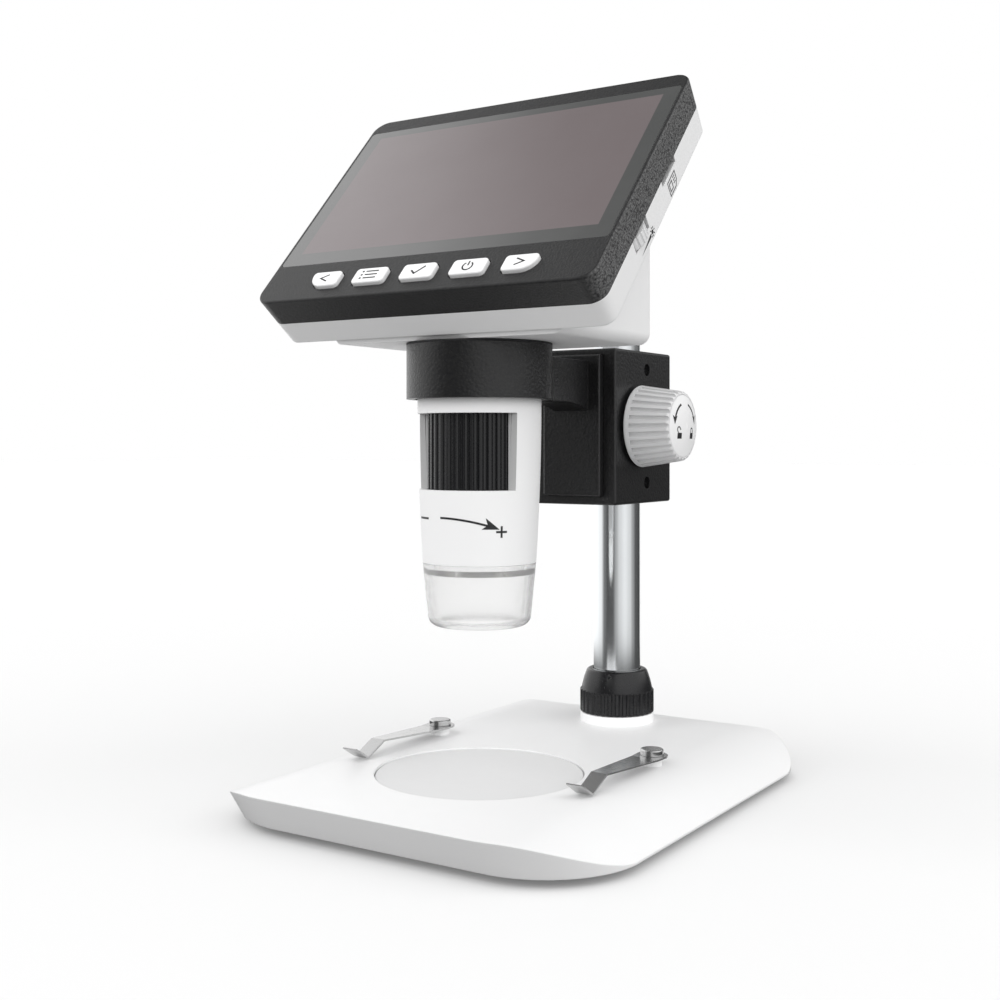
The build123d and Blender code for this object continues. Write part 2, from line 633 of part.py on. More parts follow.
with BuildPart() as collet_nut:
    nut_bottom = collar_top + GAP
    skirt_top = nut_bottom + NUT_SKIRT
    nut_top = skirt_top + NUT_CONE
    nut_top_r = POLE_R + NUT_LIP
    cone_foot_r = NUT_R - NUT_STEP
    cone_middle = ((cone_foot_r + nut_top_r) / 2 + NUT_BULGE, (skirt_top + nut_top) / 2 + NUT_BULGE)
    with BuildSketch(Plane.XZ.offset(-POLE_Y)):
        with BuildLine():
            cone = ThreePointArc((cone_foot_r, skirt_top), cone_middle, (nut_top_r, nut_top))
            Polyline(
                cone @ 1,
                (POLE_R + GAP, nut_top),
                (POLE_R + GAP, collar_top + SOCKET_RISE + GAP),
                (socket_r + GAP, collar_top + SOCKET_RISE + GAP),
                (socket_r + GAP, nut_bottom),
                (NUT_R, nut_bottom),
                (NUT_R, skirt_top),
                cone @ 0,
            )
        make_face()
    revolve(axis=Axis((0, POLE_Y, 0), (0, 0, 1)))
    fillet(collet_nut.edges().group_by(Axis.Z)[-1].sort_by(SortBy.LENGTH)[-1], NUT_LIP_EDGE_R)
    with Locations((0, POLE_Y, nut_bottom)):
        with PolarLocations(NUT_R + NUT_GROOVE_R - NUT_GROOVE_DEPTH, NUT_RIBS):
            Cylinder(NUT_GROOVE_R, NUT_SKIRT, align=UP, mode=Mode.SUBTRACT)
collet_nut.part.label = "collet_nut"
export_step(collet_nut.part, "parts/collet_nut.step")

with BuildPart() as pole_tube:
    with Locations((0, POLE_Y, pole_foot)):
        Cylinder(POLE_R, pole_top - pole_foot, align=UP)
        Cylinder(POLE_R - POLE_WALL, pole_top - pole_foot, align=UP, mode=Mode.SUBTRACT)
pole_tube.part.label = "pole_tube"
export_step(pole_tube.part, "parts/pole_tube.step")

with BuildPart() as pole_plug:
    with Locations((0, POLE_Y, pole_foot)):
        Cylinder(POLE_R - POLE_WALL - FIT, POLE_PLUG, align=UP)
        Cylinder(POLE_BOLT_R + FIT, POLE_PLUG, align=UP, mode=Mode.SUBTRACT)
pole_plug.part.label = "pole_plug"
export_step(pole_plug.part, "parts/pole_plug.step")

with BuildPart() as pole_bolt:
    with BuildSketch(Plane.XY.offset(bolt_head_top)):
        with Locations((0, POLE_Y)):
            RegularPolygon(BOLT_HEAD_R, 6)
    extrude(amount=-BOLT_HEAD_HEIGHT)
    with Locations((0, POLE_Y, bolt_head_top)):
        Cylinder(POLE_BOLT_R, POLE_BOLT_LENGTH, align=UP)
pole_bolt.part.label = "pole_bolt"
export_step(pole_bolt.part, "parts/pole_bolt.step")

with BuildPart() as pole_washer:
    with Locations((0, POLE_Y, washer_top)):
        Cylinder(WASHER_R, WASHER_THICKNESS, align=DOWN)
        Cylinder(POLE_BOLT_R + FIT, WASHER_THICKNESS, align=DOWN, mode=Mode.SUBTRACT)
pole_washer.part.label = "pole_washer"
export_step(pole_washer.part, "parts/pole_washer.step")

with BuildPart() as pole_cap:
    with Locations((0, POLE_Y, pole_top)):
        Cylinder(POLE_R, POLE_CAP, align=UP)
        Cylinder(POLE_R - POLE_WALL - FIT, 2 * POLE_R, align=DOWN)
    fillet(pole_cap.edges().group_by(Axis.Z)[-1], POLE_CAP / 2)
pole_cap.part.label = "pole_cap"
export_step(pole_cap.part, "parts/pole_cap.step")

# ---------------------------------------------------------------- bracket

drag_places = [(POLE_Y - DRAG_AHEAD, KNOB_Z + side * DRAG_SPACING / 2) for side in (-1, 1)]
drag_tip_x = sqrt(LINER_R**2 - (DRAG_AHEAD - DRAG_HOLE_R) ** 2) + GAP
plate_back_y = BLOCK_FRONT_Y + PLATE_INSET
holder_screw_y = plate_back_y + TENON_DEPTH / 2
holder_screw_seats = [BLOCK_TOP - HOLDER_SCREW_HEAD, BLOCK_BOTTOM + HOLDER_SCREW_HEAD]
HOLDER_SCREW_PLANES = [
    Plane(origin=(0, holder_screw_y, holder_screw_seats[0]), z_dir=(0, 0, 1)),
    Plane(origin=(0, holder_screw_y, holder_screw_seats[1]), x_dir=(1, 0, 0), z_dir=(0, 0, -1)),
]
plate_middle_z = BLOCK_BOTTOM + PLATE_BOTTOM_RISE + PLATE_HEIGHT / 2
KNOB_AXIS_PLANE = Plane(origin=(0, KNOB_Y, KNOB_Z), x_dir=(0, 1, 0), z_dir=(1, 0, 0))

with BuildPart() as pole_liner:
    liner_height = BLOCK_HEIGHT - 2 * BLOCK_LIP - 2 * FIT
    with Locations((0, POLE_Y, BLOCK_BOTTOM + BLOCK_LIP + FIT)):
        Cylinder(LINER_R, liner_height, align=UP)
        Cylinder(POLE_R + FIT, liner_height, align=UP, mode=Mode.SUBTRACT)
    with Locations((0, POLE_Y, BLOCK_BOTTOM)):
        behind = (Align.CENTER, Align.MIN, Align.MIN)
        Box(LINER_SPLIT, 2 * LINER_R, BLOCK_HEIGHT, align=behind, mode=Mode.SUBTRACT)
pole_liner.part.label = "pole_liner"
export_step(pole_liner.part, "parts/pole_liner.step")

with BuildPart() as slider_block:
    with BuildSketch(Plane.XY.offset(BLOCK_BOTTOM)):
        with Locations((0, (BLOCK_FRONT_Y + BLOCK_BACK_Y) / 2)):
            Rectangle(2 * BLOCK_HALF, BLOCK_AHEAD + BLOCK_BEHIND)
    extrude(amount=BLOCK_HEIGHT)
    fillet(slider_block.edges(), BLOCK_EDGE_R)
    with Locations((0, POLE_Y, BLOCK_BOTTOM)):
        Cylinder(POLE_R + GAP, BLOCK_HEIGHT, align=UP, mode=Mode.SUBTRACT)
    with Locations((0, POLE_Y, BLOCK_BOTTOM + BLOCK_LIP)):
        Cylinder(LINER_R + FIT, BLOCK_HEIGHT - 2 * BLOCK_LIP, align=UP, mode=Mode.SUBTRACT)
    with Locations((0, BLOCK_FRONT_Y, plate_middle_z)):
        Box(
            2 * PLATE_HALF + 2 * FIT,
            2 * PLATE_INSET,
            PLATE_HEIGHT + 2 * FIT,
            mode=Mode.SUBTRACT,
        )
    with Locations((0, plate_back_y, KNOB_Z)):
        Box(
            2 * TENON_HALF + 2 * FIT,
            TENON_DEPTH + FIT,
            TENON_HEIGHT + 2 * FIT,
            align=(Align.CENTER, Align.MIN, Align.CENTER),
            mode=Mode.SUBTRACT,
        )
    with BuildSketch(KNOB_AXIS_PLANE.offset(-COTTER_HALF - COTTER_TRAVEL - GAP)):
        Circle(COTTER_R + FIT)
    extrude(amount=2 * BLOCK_HALF, mode=Mode.SUBTRACT)
    for drag_y, drag_z in drag_places:
        with BuildSketch(Plane.YZ.offset(BLOCK_HALF)):
            with Locations((drag_y, drag_z)):
                Circle(DRAG_HOLE_R)
        extrude(amount=-BLOCK_HALF, mode=Mode.SUBTRACT)
    for seat_plane in HOLDER_SCREW_PLANES:
        with Locations(seat_plane):
            with Locations((-HOLDER_SCREW_X, 0), (HOLDER_SCREW_X, 0)):
                Cylinder(HOLDER_SCREW_HEAD_R + FIT, 2 * HOLDER_SCREW_HEAD, align=UP, mode=Mode.SUBTRACT)
                Cylinder(HOLDER_SCREW_R + FIT, HOLDER_SCREW_LENGTH + FIT, align=DOWN, mode=Mode.SUBTRACT)
slider_block.part.label = "slider_block"
export_step(slider_block.part, "parts/slider_block.step")

with BuildPart() as drag_screws:
    for drag_y, drag_z in drag_places:
        with BuildSketch(Plane.YZ.offset(drag_tip_x)):
            with Locations((drag_y, drag_z)):
                Circle(DRAG_HOLE_R - FIT)
        extrude(amount=DRAG_LENGTH)
        with BuildSketch(Plane.YZ.offset(drag_tip_x + DRAG_LENGTH)):
            with Locations((drag_y, drag_z)):
                RegularPolygon(DRAG_SOCKET_R, 6)
        extrude(amount=-DRAG_SOCKET_DEPTH, mode=Mode.SUBTRACT)
drag_screws.part.label = "drag_screws"
export_step(drag_screws.part, "parts/drag_screws.step")

with BuildPart() as draw_cotter:
    with BuildSketch(KNOB_AXIS_PLANE.offset(-COTTER_HALF)):
        Circle(COTTER_R)
    extrude(amount=2 * COTTER_HALF)
    with Locations((0, POLE_Y, BLOCK_BOTTOM), (COTTER_TRAVEL, POLE_Y, BLOCK_BOTTOM)):
        Cylinder(LINER_R + 2 * FIT, BLOCK_HEIGHT, align=UP, mode=Mode.SUBTRACT)
    with BuildSketch(KNOB_AXIS_PLANE.offset(-COTTER_HALF)):
        Circle(CLAMP_SCREW_R + FIT)
    extrude(amount=2 * COTTER_HALF, mode=Mode.SUBTRACT)
draw_cotter.part.label = "draw_cotter"
export_step(draw_cotter.part, "parts/draw_cotter.step")

knob_base_x = BLOCK_HALF + KNOB_STANDOFF
knob_nose_x = knob_base_x + KNOB_LENGTH
clamp_head_x = knob_nose_x - KNOB_CAP_SEAT - FIT - CLAMP_HEAD

with BuildPart() as clamp_screw:
    with BuildSketch(KNOB_AXIS_PLANE.offset(-COTTER_HALF + GAP)):
        Circle(CLAMP_SCREW_R)
    extrude(amount=clamp_head_x + COTTER_HALF - GAP)
    with BuildSketch(KNOB_AXIS_PLANE.offset(clamp_head_x)):
        RegularPolygon(CLAMP_HEAD_R, 6)
    extrude(amount=CLAMP_HEAD)
    with BuildSketch(KNOB_AXIS_PLANE.offset(BLOCK_HALF + FIT)):
        Circle(CLAMP_COLLAR_R)
    extrude(amount=KNOB_STANDOFF - 2 * FIT)
clamp_screw.part.label = "clamp_screw"
export_step(clamp_screw.part, "parts/clamp_screw.step")

with BuildPart() as lock_knob:
    knob_taper = degrees(atan2(KNOB_R - KNOB_NOSE_R, KNOB_LENGTH))
    with Locations(KNOB_AXIS_PLANE.offset(knob_base_x)):
        Cone(KNOB_R, KNOB_NOSE_R, KNOB_LENGTH, align=UP)
    fillet(lock_knob.edges().group_by(Axis.X)[-1], KNOB_NOSE_EDGE_R)
    fillet(lock_knob.edges().group_by(Axis.X)[0], KNOB_RIM_EDGE_R)
    with Locations(KNOB_AXIS_PLANE.offset(knob_base_x + KNOB_RIM)):
        with PolarLocations(KNOB_R - KNOB_RIM * (KNOB_R - KNOB_NOSE_R) / KNOB_LENGTH, KNOB_RIBS):
            Cylinder(KNOB_RIB_DEPTH, KNOB_LENGTH, rotation=(0, -knob_taper, 0), align=UP, mode=Mode.SUBTRACT)
    with Locations(KNOB_AXIS_PLANE.offset(knob_base_x)):
        Cylinder(CLAMP_SCREW_R + FIT, KNOB_LENGTH, align=UP, mode=Mode.SUBTRACT)
    with BuildSketch(KNOB_AXIS_PLANE.offset(clamp_head_x)):
        RegularPolygon(CLAMP_HEAD_R + FIT, 6)
    extrude(amount=KNOB_LENGTH, mode=Mode.SUBTRACT)
    with Locations(KNOB_AXIS_PLANE.offset(knob_nose_x - KNOB_CAP_SEAT)):
        Cylinder(KNOB_CAP_R + FIT, KNOB_LENGTH, align=UP, mode=Mode.SUBTRACT)
lock_knob.part.label = "lock_knob"
export_step(lock_knob.part, "parts/lock_knob.step")

KNOB_SECTION = Plane(origin=(0, KNOB_Y, KNOB_Z), x_dir=(1, 0, 0), z_dir=(0, -1, 0))

with BuildPart() as knob_cap:
    cap_seat_x = knob_nose_x - KNOB_CAP_SEAT
    with BuildSketch(KNOB_SECTION):
        with BuildLine():
            dome_r = (KNOB_CAP_R**2 + KNOB_CAP_RISE**2) / (2 * KNOB_CAP_RISE)
            dome = RadiusArc((knob_nose_x, KNOB_CAP_R), (knob_nose_x + KNOB_CAP_RISE, 0), dome_r)
            Polyline(dome @ 1, (cap_seat_x, 0), (cap_seat_x, KNOB_CAP_R), dome @ 0)
        make_face()
    revolve(axis=Axis((0, KNOB_Y, KNOB_Z), (1, 0, 0)))
knob_cap.part.label = "knob_cap"
export_step(knob_cap.part, "parts/knob_cap.step")

with BuildPart() as holder:
    plate_front_y = plate_back_y - PLATE_INSET - PLATE_PROUD
    arm_top = RING_TOP - ARM_TOP_DROP
    with Locations((0, plate_back_y, plate_middle_z)):
        ahead = (Align.CENTER, Align.MAX, Align.CENTER)
        Box(2 * PLATE_HALF, PLATE_INSET + PLATE_PROUD, PLATE_HEIGHT, align=ahead)
    fillet(holder.edges().group_by(Axis.Y)[0], PLATE_EDGE_R)
    with Locations((0, plate_back_y, KNOB_Z)):
        Box(2 * TENON_HALF, TENON_DEPTH, TENON_HEIGHT, align=(Align.CENTER, Align.MIN, Align.CENTER))
    with BuildSketch(Plane.YZ):
        with BuildLine():
            bend = (plate_front_y - ARM_ROOT_RUN, RING_BOTTOM)
            root = (plate_front_y + FIT, RING_BOTTOM - ARM_ROOT_DROP)
            Polyline(bend, (OPTIC_Y, RING_BOTTOM), (OPTIC_Y, arm_top), (plate_front_y + FIT, arm_top), root)
            TangentArc(bend, root, tangent=(1, 0))
        make_face()
    extrude(amount=ARM_HALF, both=True)
    with Locations((0, OPTIC_Y, RING_BOTTOM)):
        Cylinder(RING_R, RING_HEIGHT, align=UP)
    chamfer(holder.edges().filter_by(GeomType.CIRCLE).group_by(Axis.Z)[0], RING_CHAMFER)
    with Locations((0, OPTIC_Y, RING_BOTTOM)):
        Cylinder(SLEEVE_R + FIT, RING_HEIGHT, align=UP, mode=Mode.SUBTRACT)
    for seat_plane in HOLDER_SCREW_PLANES:
        with Locations(seat_plane):
            with Locations((-HOLDER_SCREW_X, 0), (HOLDER_SCREW_X, 0)):
                Cylinder(HOLDER_SCREW_R + FIT, HOLDER_SCREW_LENGTH + FIT, align=DOWN, mode=Mode.SUBTRACT)
holder.part.label = "holder"
export_step(holder.part, "parts/holder.step")

with BuildPart() as holder_screws:
    for seat_plane in HOLDER_SCREW_PLANES:
        with Locations(seat_plane):
            with Locations((-HOLDER_SCREW_X, 0), (HOLDER_SCREW_X, 0)):
                add(screw(HOLDER_SCREW_HEAD_R, HOLDER_SCREW_HEAD, HOLDER_SCREW_R, HOLDER_SCREW_LENGTH))
holder_screws.part.label = "holder_screws"
export_step(holder_screws.part, "parts/holder_screws.step")

with BuildPart() as ring_liner:
    with Locations((0, OPTIC_Y, RING_BOTTOM)):
        Cylinder(SLEEVE_R, RING_HEIGHT + FIT, align=UP)
    with Locations((0, OPTIC_Y, RING_TOP + FIT)):
        Cylinder(RING_R, SLEEVE_FLANGE, align=UP)
    with Locations((0, OPTIC_Y, RING_BOTTOM)):
        Cylinder(BARREL_R + FIT, 2 * RING_HEIGHT, align=UP, mode=Mode.SUBTRACT)
ring_liner.part.label = "ring_liner"
export_step(ring_liner.part, "parts/ring_liner.step")

# ---------------------------------------------------------------- barrel

barrel_bottom = SEAT - BARREL_LENGTH
floor_top = SEAT + WEDGE_FLOOR
barrel_top = floor_top + BARREL_FLANGE
straight_foot = SEAT - BARREL_STRAIGHT
window_top = SEAT - WINDOW_TOP
window_bottom = window_top - WINDOW_HEIGHT
wheel_bottom = window_bottom - WHEEL_OVERLAP
wheel_top = window_top + WHEEL_OVERLAP
sensor_level = SEAT - SENSOR_LEDGE_DROP  # top of the guide's flange, where the sensor board rests
guide_ledge_top = sensor_level - LEDGE - FIT
wheel_ledge_top = wheel_bottom - GAP
light_board_bottom = barrel_bottom + CUP_SPIGOT + FIT
light_ledge_bottom = light_board_bottom + LIGHT_BOARD + FIT
barrel_inner_r = BARREL_R - BARREL_WALL
barrel_foot_inner_r = BARREL_FOOT_R - BARREL_WALL
wheel_bore_r = WHEEL_R + GAP
OPTIC_SECTION = Plane.XZ.offset(-OPTIC_Y)
OPTIC_AXIS = Axis((0, OPTIC_Y, 0), (0, 0, 1))
ears = [(EAR_OUT, 0), (-EAR_OUT, 0), (0, EAR_OUT)]


def bore_at(level):
    """Inner radius of the barrel at a level below the seat."""
    share = max(0, (straight_foot - level) / (straight_foot - barrel_bottom))
    return barrel_inner_r + share * (barrel_foot_inner_r - barrel_inner_r)


with BuildPart() as barrel_shell:
    with BuildSketch(OPTIC_SECTION):
        with BuildLine():
            belly = ((BARREL_FOOT_R + BARREL_R) / 2 + BARREL_BULGE, (barrel_bottom + straight_foot) / 2)
            taper_line = ThreePointArc((BARREL_FOOT_R, barrel_bottom), belly, (BARREL_R, straight_foot))
            Polyline(
                taper_line @ 1,
                (BARREL_R, floor_top),
                (BARREL_FLANGE_R, floor_top),
                (BARREL_FLANGE_R, barrel_top),
                (barrel_inner_r, barrel_top),
                (barrel_inner_r, straight_foot),
                (barrel_foot_inner_r, barrel_bottom),
                taper_line @ 0,
            )
        make_face()
    revolve(axis=OPTIC_AXIS)
    with BuildSketch(Plane.XY.offset(floor_top)):
        for ear_x, ear_y in ears:
            with Locations((ear_x, OPTIC_Y + ear_y)):
                Circle(EAR_R)
    extrude(amount=BARREL_FLANGE)
    with Locations((0, OPTIC_Y, floor_top)):
        Cylinder(barrel_inner_r, BARREL_FLANGE, align=UP, mode=Mode.SUBTRACT)
    for top, foot, ledge_r in (
        (guide_ledge_top, wheel_ledge_top - LEDGE, wheel_bore_r),
        (wheel_ledge_top, wheel_ledge_top - LEDGE, GUIDE_R + FIT),
        (light_ledge_bottom + LEDGE, light_ledge_bottom, LED_CIRCLE_R + LED_R + LEDGE),
    ):
        with BuildSketch(OPTIC_SECTION):
            with BuildLine():
                Polyline(
                    (ledge_r, top),
                    (bore_at(top) + FIT, top),
                    (bore_at(foot) + FIT, foot),
                    (ledge_r, foot),
                    close=True,
                )
            make_face()
        revolve(axis=OPTIC_AXIS)
    with BuildSketch(Plane.XY.offset(window_bottom)):
        with Locations((0, OPTIC_Y - WINDOW_AHEAD)):
            Rectangle(2 * BARREL_FLANGE_R, BARREL_FLANGE_R, align=(Align.CENTER, Align.MAX))
        with Locations((0, OPTIC_Y + WINDOW_BEHIND)):
            Rectangle(2 * BARREL_FLANGE_R, BARREL_FLANGE_R, align=(Align.CENTER, Align.MIN))
    extrude(amount=WINDOW_HEIGHT, mode=Mode.SUBTRACT)
    for ear_x, ear_y in ears:
        with Locations((ear_x, OPTIC_Y + ear_y, floor_top)):
            Cylinder(BARREL_SCREW_R + FIT, BARREL_FLANGE, align=UP, mode=Mode.SUBTRACT)
barrel_shell.part.label = "barrel_shell"
export_step(barrel_shell.part, "parts/barrel_shell.step")

with BuildPart() as barrel_screws:
    with Locations(*[(ear_x, OPTIC_Y + ear_y, barrel_top) for ear_x, ear_y in ears]):
        add(screw(BARREL_SCREW_HEAD_R, BARREL_SCREW_HEAD, BARREL_SCREW_R, BARREL_SCREW_LENGTH))
barrel_screws.part.label = "barrel_screws"
export_step(barrel_screws.part, "parts/barrel_screws.step")

with BuildPart() as focus_guide:
    guide_foot = wheel_bottom - GUIDE_BELOW
    guide_bore_r = GUIDE_R - GUIDE_WALL
    with BuildSketch(OPTIC_SECTION):
        with BuildLine():
            Polyline(
                (guide_bore_r, guide_foot),
                (GUIDE_R, guide_foot),
                (GUIDE_R, wheel_top + GAP),
                (GUIDE_R + 2 * GUIDE_WALL, wheel_top + GAP),
                (GUIDE_R + 2 * GUIDE_WALL, wheel_top + GAP + LEDGE),
                (GUIDE_R, wheel_top + GAP + LEDGE),
                (GUIDE_R, sensor_level - LEDGE),
                (barrel_inner_r - 2 * FIT, sensor_level - LEDGE),
                (barrel_inner_r - 2 * FIT, sensor_level),
                (guide_bore_r, sensor_level),
                close=True,
            )
        make_face()
    revolve(axis=OPTIC_AXIS)
    slot_half = CARRIAGE_TRAVEL + PIN_R + GAP
    with Locations((0, OPTIC_Y, (window_top + window_bottom) / 2)):
        Box(3 * GUIDE_R, 2 * PIN_R + 2 * FIT, 2 * slot_half, mode=Mode.SUBTRACT)
focus_guide.part.label = "focus_guide"
export_step(focus_guide.part, "parts/focus_guide.step")

with BuildPart() as focus_wheel:
    pin_space = CARRIAGE_TRAVEL + PIN_R + 2 * GAP
    with BuildSketch(Plane.XY.offset(wheel_bottom)):
        with Locations((0, OPTIC_Y)):
            Circle(WHEEL_R)
            with PolarLocations(WHEEL_R + WHEEL_RIB_R - WHEEL_RIB_DEPTH, WHEEL_RIBS):
                Circle(WHEEL_RIB_R, mode=Mode.SUBTRACT)
            Circle(GUIDE_R + FIT, mode=Mode.SUBTRACT)
    extrude(amount=wheel_top - wheel_bottom)
    with Locations((0, OPTIC_Y, (window_top + window_bottom) / 2)):
        Cylinder(GUIDE_R + PIN_REACH + 2 * GAP, 2 * pin_space, mode=Mode.SUBTRACT)
focus_wheel.part.label = "focus_wheel"
export_step(focus_wheel.part, "parts/focus_wheel.step")

carriage_middle = (window_top + window_bottom) / 2
carriage_top = carriage_middle + CARRIAGE_LENGTH / 2
carriage_bottom = carriage_middle - CARRIAGE_LENGTH / 2

with BuildPart() as lens_carriage:
    with Locations((0, OPTIC_Y, carriage_bottom)):
        Cylinder(GUIDE_R - GUIDE_WALL - FIT, CARRIAGE_LENGTH, align=UP)
    with Locations((0, OPTIC_Y, carriage_middle)):
        Cylinder(PIN_R, 2 * (GUIDE_R + PIN_REACH), rotation=(0, 90, 0))
        Cylinder(LENS_R - LENS_SHOULDER, CARRIAGE_LENGTH, mode=Mode.SUBTRACT)
    with Locations((0, OPTIC_Y, carriage_top)):
        Cylinder(LENS_R + FIT, LENS_EDGE + LENS_CROWN, align=DOWN, mode=Mode.SUBTRACT)
    with Locations((0, OPTIC_Y, carriage_bottom)):
        Cylinder(LENS_R + FIT, LENS_EDGE + LENS_CROWN, align=UP, mode=Mode.SUBTRACT)
lens_carriage.part.label = "lens_carriage"
export_step(lens_carriage.part, "parts/lens_carriage.step")

for lens_name, lens_seat, outward in (
    ("lens_front", carriage_bottom + LENS_CROWN + LENS_EDGE - FIT, -1),
    ("lens_rear", carriage_top - LENS_CROWN - LENS_EDGE + FIT, 1),
):
    with BuildPart() as lens:
        crown_r = (LENS_R**2 + LENS_CROWN**2) / (2 * LENS_CROWN)
        edge = lens_seat + outward * LENS_EDGE
        with BuildSketch(OPTIC_SECTION):
            with BuildLine():
                crown = edge + outward * LENS_CROWN
                Polyline((0, crown), (0, lens_seat), (LENS_R, lens_seat), (LENS_R, edge))
                ThreePointArc(
                    (LENS_R, edge),
                    (LENS_R / 2, edge + outward * (sqrt(crown_r**2 - LENS_R**2 / 4) - crown_r + LENS_CROWN)),
                    (0, crown),
                )
            make_face()
        revolve(axis=OPTIC_AXIS)
    lens.part.label = lens_name
    export_step(lens.part, f"parts/{lens_name}.step")

with BuildPart() as sensor_board:
    with Locations((0, OPTIC_Y, sensor_level + FIT)):
        Cylinder(barrel_inner_r - GAP, SENSOR_BOARD, align=UP)
sensor_board.part.label = "sensor_board"
export_step(sensor_board.part, "parts/sensor_board.step")

with BuildPart() as image_sensor:
    with Locations((0, OPTIC_Y, sensor_level + FIT)):
        Box(SENSOR_SIDE, SENSOR_SIDE, SENSOR_HEIGHT, align=DOWN)
image_sensor.part.label = "image_sensor"
export_step(image_sensor.part, "parts/image_sensor.step")

with BuildPart() as sensor_flex:
    flex_y = OPTIC_Y + FLEX_BEHIND
    flex_foot = sensor_level + FIT + SENSOR_BOARD
    board_gap = MAIN_BOARD_BACK + FIT - (flex_y - FACE_Y) * LEAN_COS
    flex_top = FACE_Z - board_gap / LEAN_SIN - FLEX_THICKNESS
    with Locations((0, flex_y, flex_foot)):
        Box(FLEX_WIDTH, FLEX_THICKNESS, flex_top - flex_foot, align=UP)
sensor_flex.part.label = "sensor_flex"
export_step(sensor_flex.part, "parts/sensor_flex.step")

with BuildPart() as led_board:
    with Locations((0, OPTIC_Y, light_board_bottom)):
        Cylinder(barrel_foot_inner_r - GAP + FIT, LIGHT_BOARD, align=UP)
        Cylinder(LIGHT_BOARD_BORE_R, LIGHT_BOARD, align=UP, mode=Mode.SUBTRACT)
led_board.part.label = "led_board"
export_step(led_board.part, "parts/led_board.step")

with BuildPart() as leds:
    with Locations((0, OPTIC_Y, light_board_bottom)):
        with PolarLocations(LED_CIRCLE_R, LED_COUNT):
            Cylinder(LED_R, LED_HEIGHT, align=DOWN)
    fillet(leds.edges().group_by(Axis.Z)[0], LED_EDGE_R)
leds.part.label = "leds"
export_step(leds.part, "parts/leds.step")

with BuildPart() as clear_cup:
    cup_bottom = barrel_bottom - CUP_HEIGHT
    spigot_outer_r = barrel_foot_inner_r - FIT
    spigot_inner_r = spigot_outer_r - CUP_WALL
    with BuildSketch(OPTIC_SECTION) as cup_wall:
        with BuildLine():
            Polyline(
                (CUP_MOUTH_R, cup_bottom),
                (CUP_FOOT_R, cup_bottom),
                (BARREL_FOOT_R, barrel_bottom - FIT),
                (spigot_outer_r, barrel_bottom - FIT),
                (spigot_outer_r, barrel_bottom + CUP_SPIGOT),
                (spigot_inner_r, barrel_bottom + CUP_SPIGOT),
                (spigot_inner_r, barrel_bottom - CUP_WALL),
                (BARREL_FOOT_R - CUP_WALL, barrel_bottom - 2 * CUP_WALL),
                (CUP_FOOT_R - CUP_WALL, cup_bottom + CUP_WALL),
                (CUP_MOUTH_R, cup_bottom + CUP_WALL),
                close=True,
            )
        make_face()
        fillet(cup_wall.vertices().sort_by_distance((CUP_FOOT_R, cup_bottom))[0], CUP_EDGE_R)
        fillet(
            cup_wall.vertices().sort_by_distance((CUP_FOOT_R - CUP_WALL, cup_bottom + CUP_WALL))[0],
            CUP_EDGE_R - CUP_WALL,
        )
    revolve(axis=OPTIC_AXIS)
clear_cup.part.label = "clear_cup"
export_step(clear_cup.part, "parts/clear_cup.step")

# ---------------------------------------------------------------- display head

LCD_FRONT = FACE_THICKNESS + FIT  # depths below the face
FLANGE_FRONT = FACE_THICKNESS + FIT
FLANGE_BACK = FLANGE_FRONT + BUTTON_FLANGE_THICKNESS
STEM_BACK = FLANGE_BACK + BUTTON_STEM_LENGTH
SWITCH_FRONT = STEM_BACK + BUTTON_TRAVEL + SWITCH_LASH
SWITCH_BACK = SWITCH_FRONT + SWITCH_HEIGHT
CASE_SCREW_SEAT = HEAD_DEPTH - CASE_SCREW_HEAD - FIT
DIMMER_FRONT = BEZEL_DEPTH + GAP
DIMMER_BACK = DIMMER_FRONT + DIMMER_THICKNESS
DIMMER_U = SEAM_WIDTH / 2 - DIMMER_WALL_BITE + DIMMER_PROUD - DIMMER_R
bezel_taper = degrees(atan2(BEZEL_DRAFT, BEZEL_DEPTH))
shell_taper = degrees(atan2(SHELL_DRAFT, SHELL_DEPTH))
post_u = [BUTTON_PITCH * step for step in (-1.5, -0.5, 0.5, 1.5)]
case_screw_places = [
    (u, v) for u in (-CASE_SCREW_U, CASE_SCREW_U) for v in (CASE_SCREW_TOP_V, CASE_SCREW_BOTTOM_V)
]
board_screw_places = [
    (-BOARD_SCREW_U, BOARD_SCREW_TOP_V),
    (BOARD_SCREW_U, BOARD_SCREW_TOP_V),
    (-BOARD_SCREW_U, BOARD_SCREW_LOW_V),
    (BOARD_SCREW_U, BOARD_SCREW_RIGHT_V),
]


def seen_from_behind(places):
    """Places on the face turned to the axes of the planes that look backwards."""
    return [(-u, v) for u, v in places]


def button_outline(u, grow):
    """One button seen from the front; the outer two have their lower outer corner swept away."""
    swept = abs(u) > 1.5 * BUTTON_PITCH
    trim = BUTTON_OUTER_TRIM if swept else 0
    with BuildSketch() as outline:
        with Locations((-trim / 2 if u > 0 else trim / 2, 0)):
            Rectangle(BUTTON_WIDTH - trim + 2 * grow, BUTTON_HEIGHT + 2 * grow)
        sweep_corner = (u, -BUTTON_HEIGHT)
        corners = outline.vertices().sort_by_distance(sweep_corner)
        fillet(corners[1:] if swept else corners, BUTTON_CORNER_R + grow)
        if swept:
            fillet(outline.vertices().sort_by_distance(sweep_corner)[0], BUTTON_SWEPT_R + grow)
    return outline.sketch


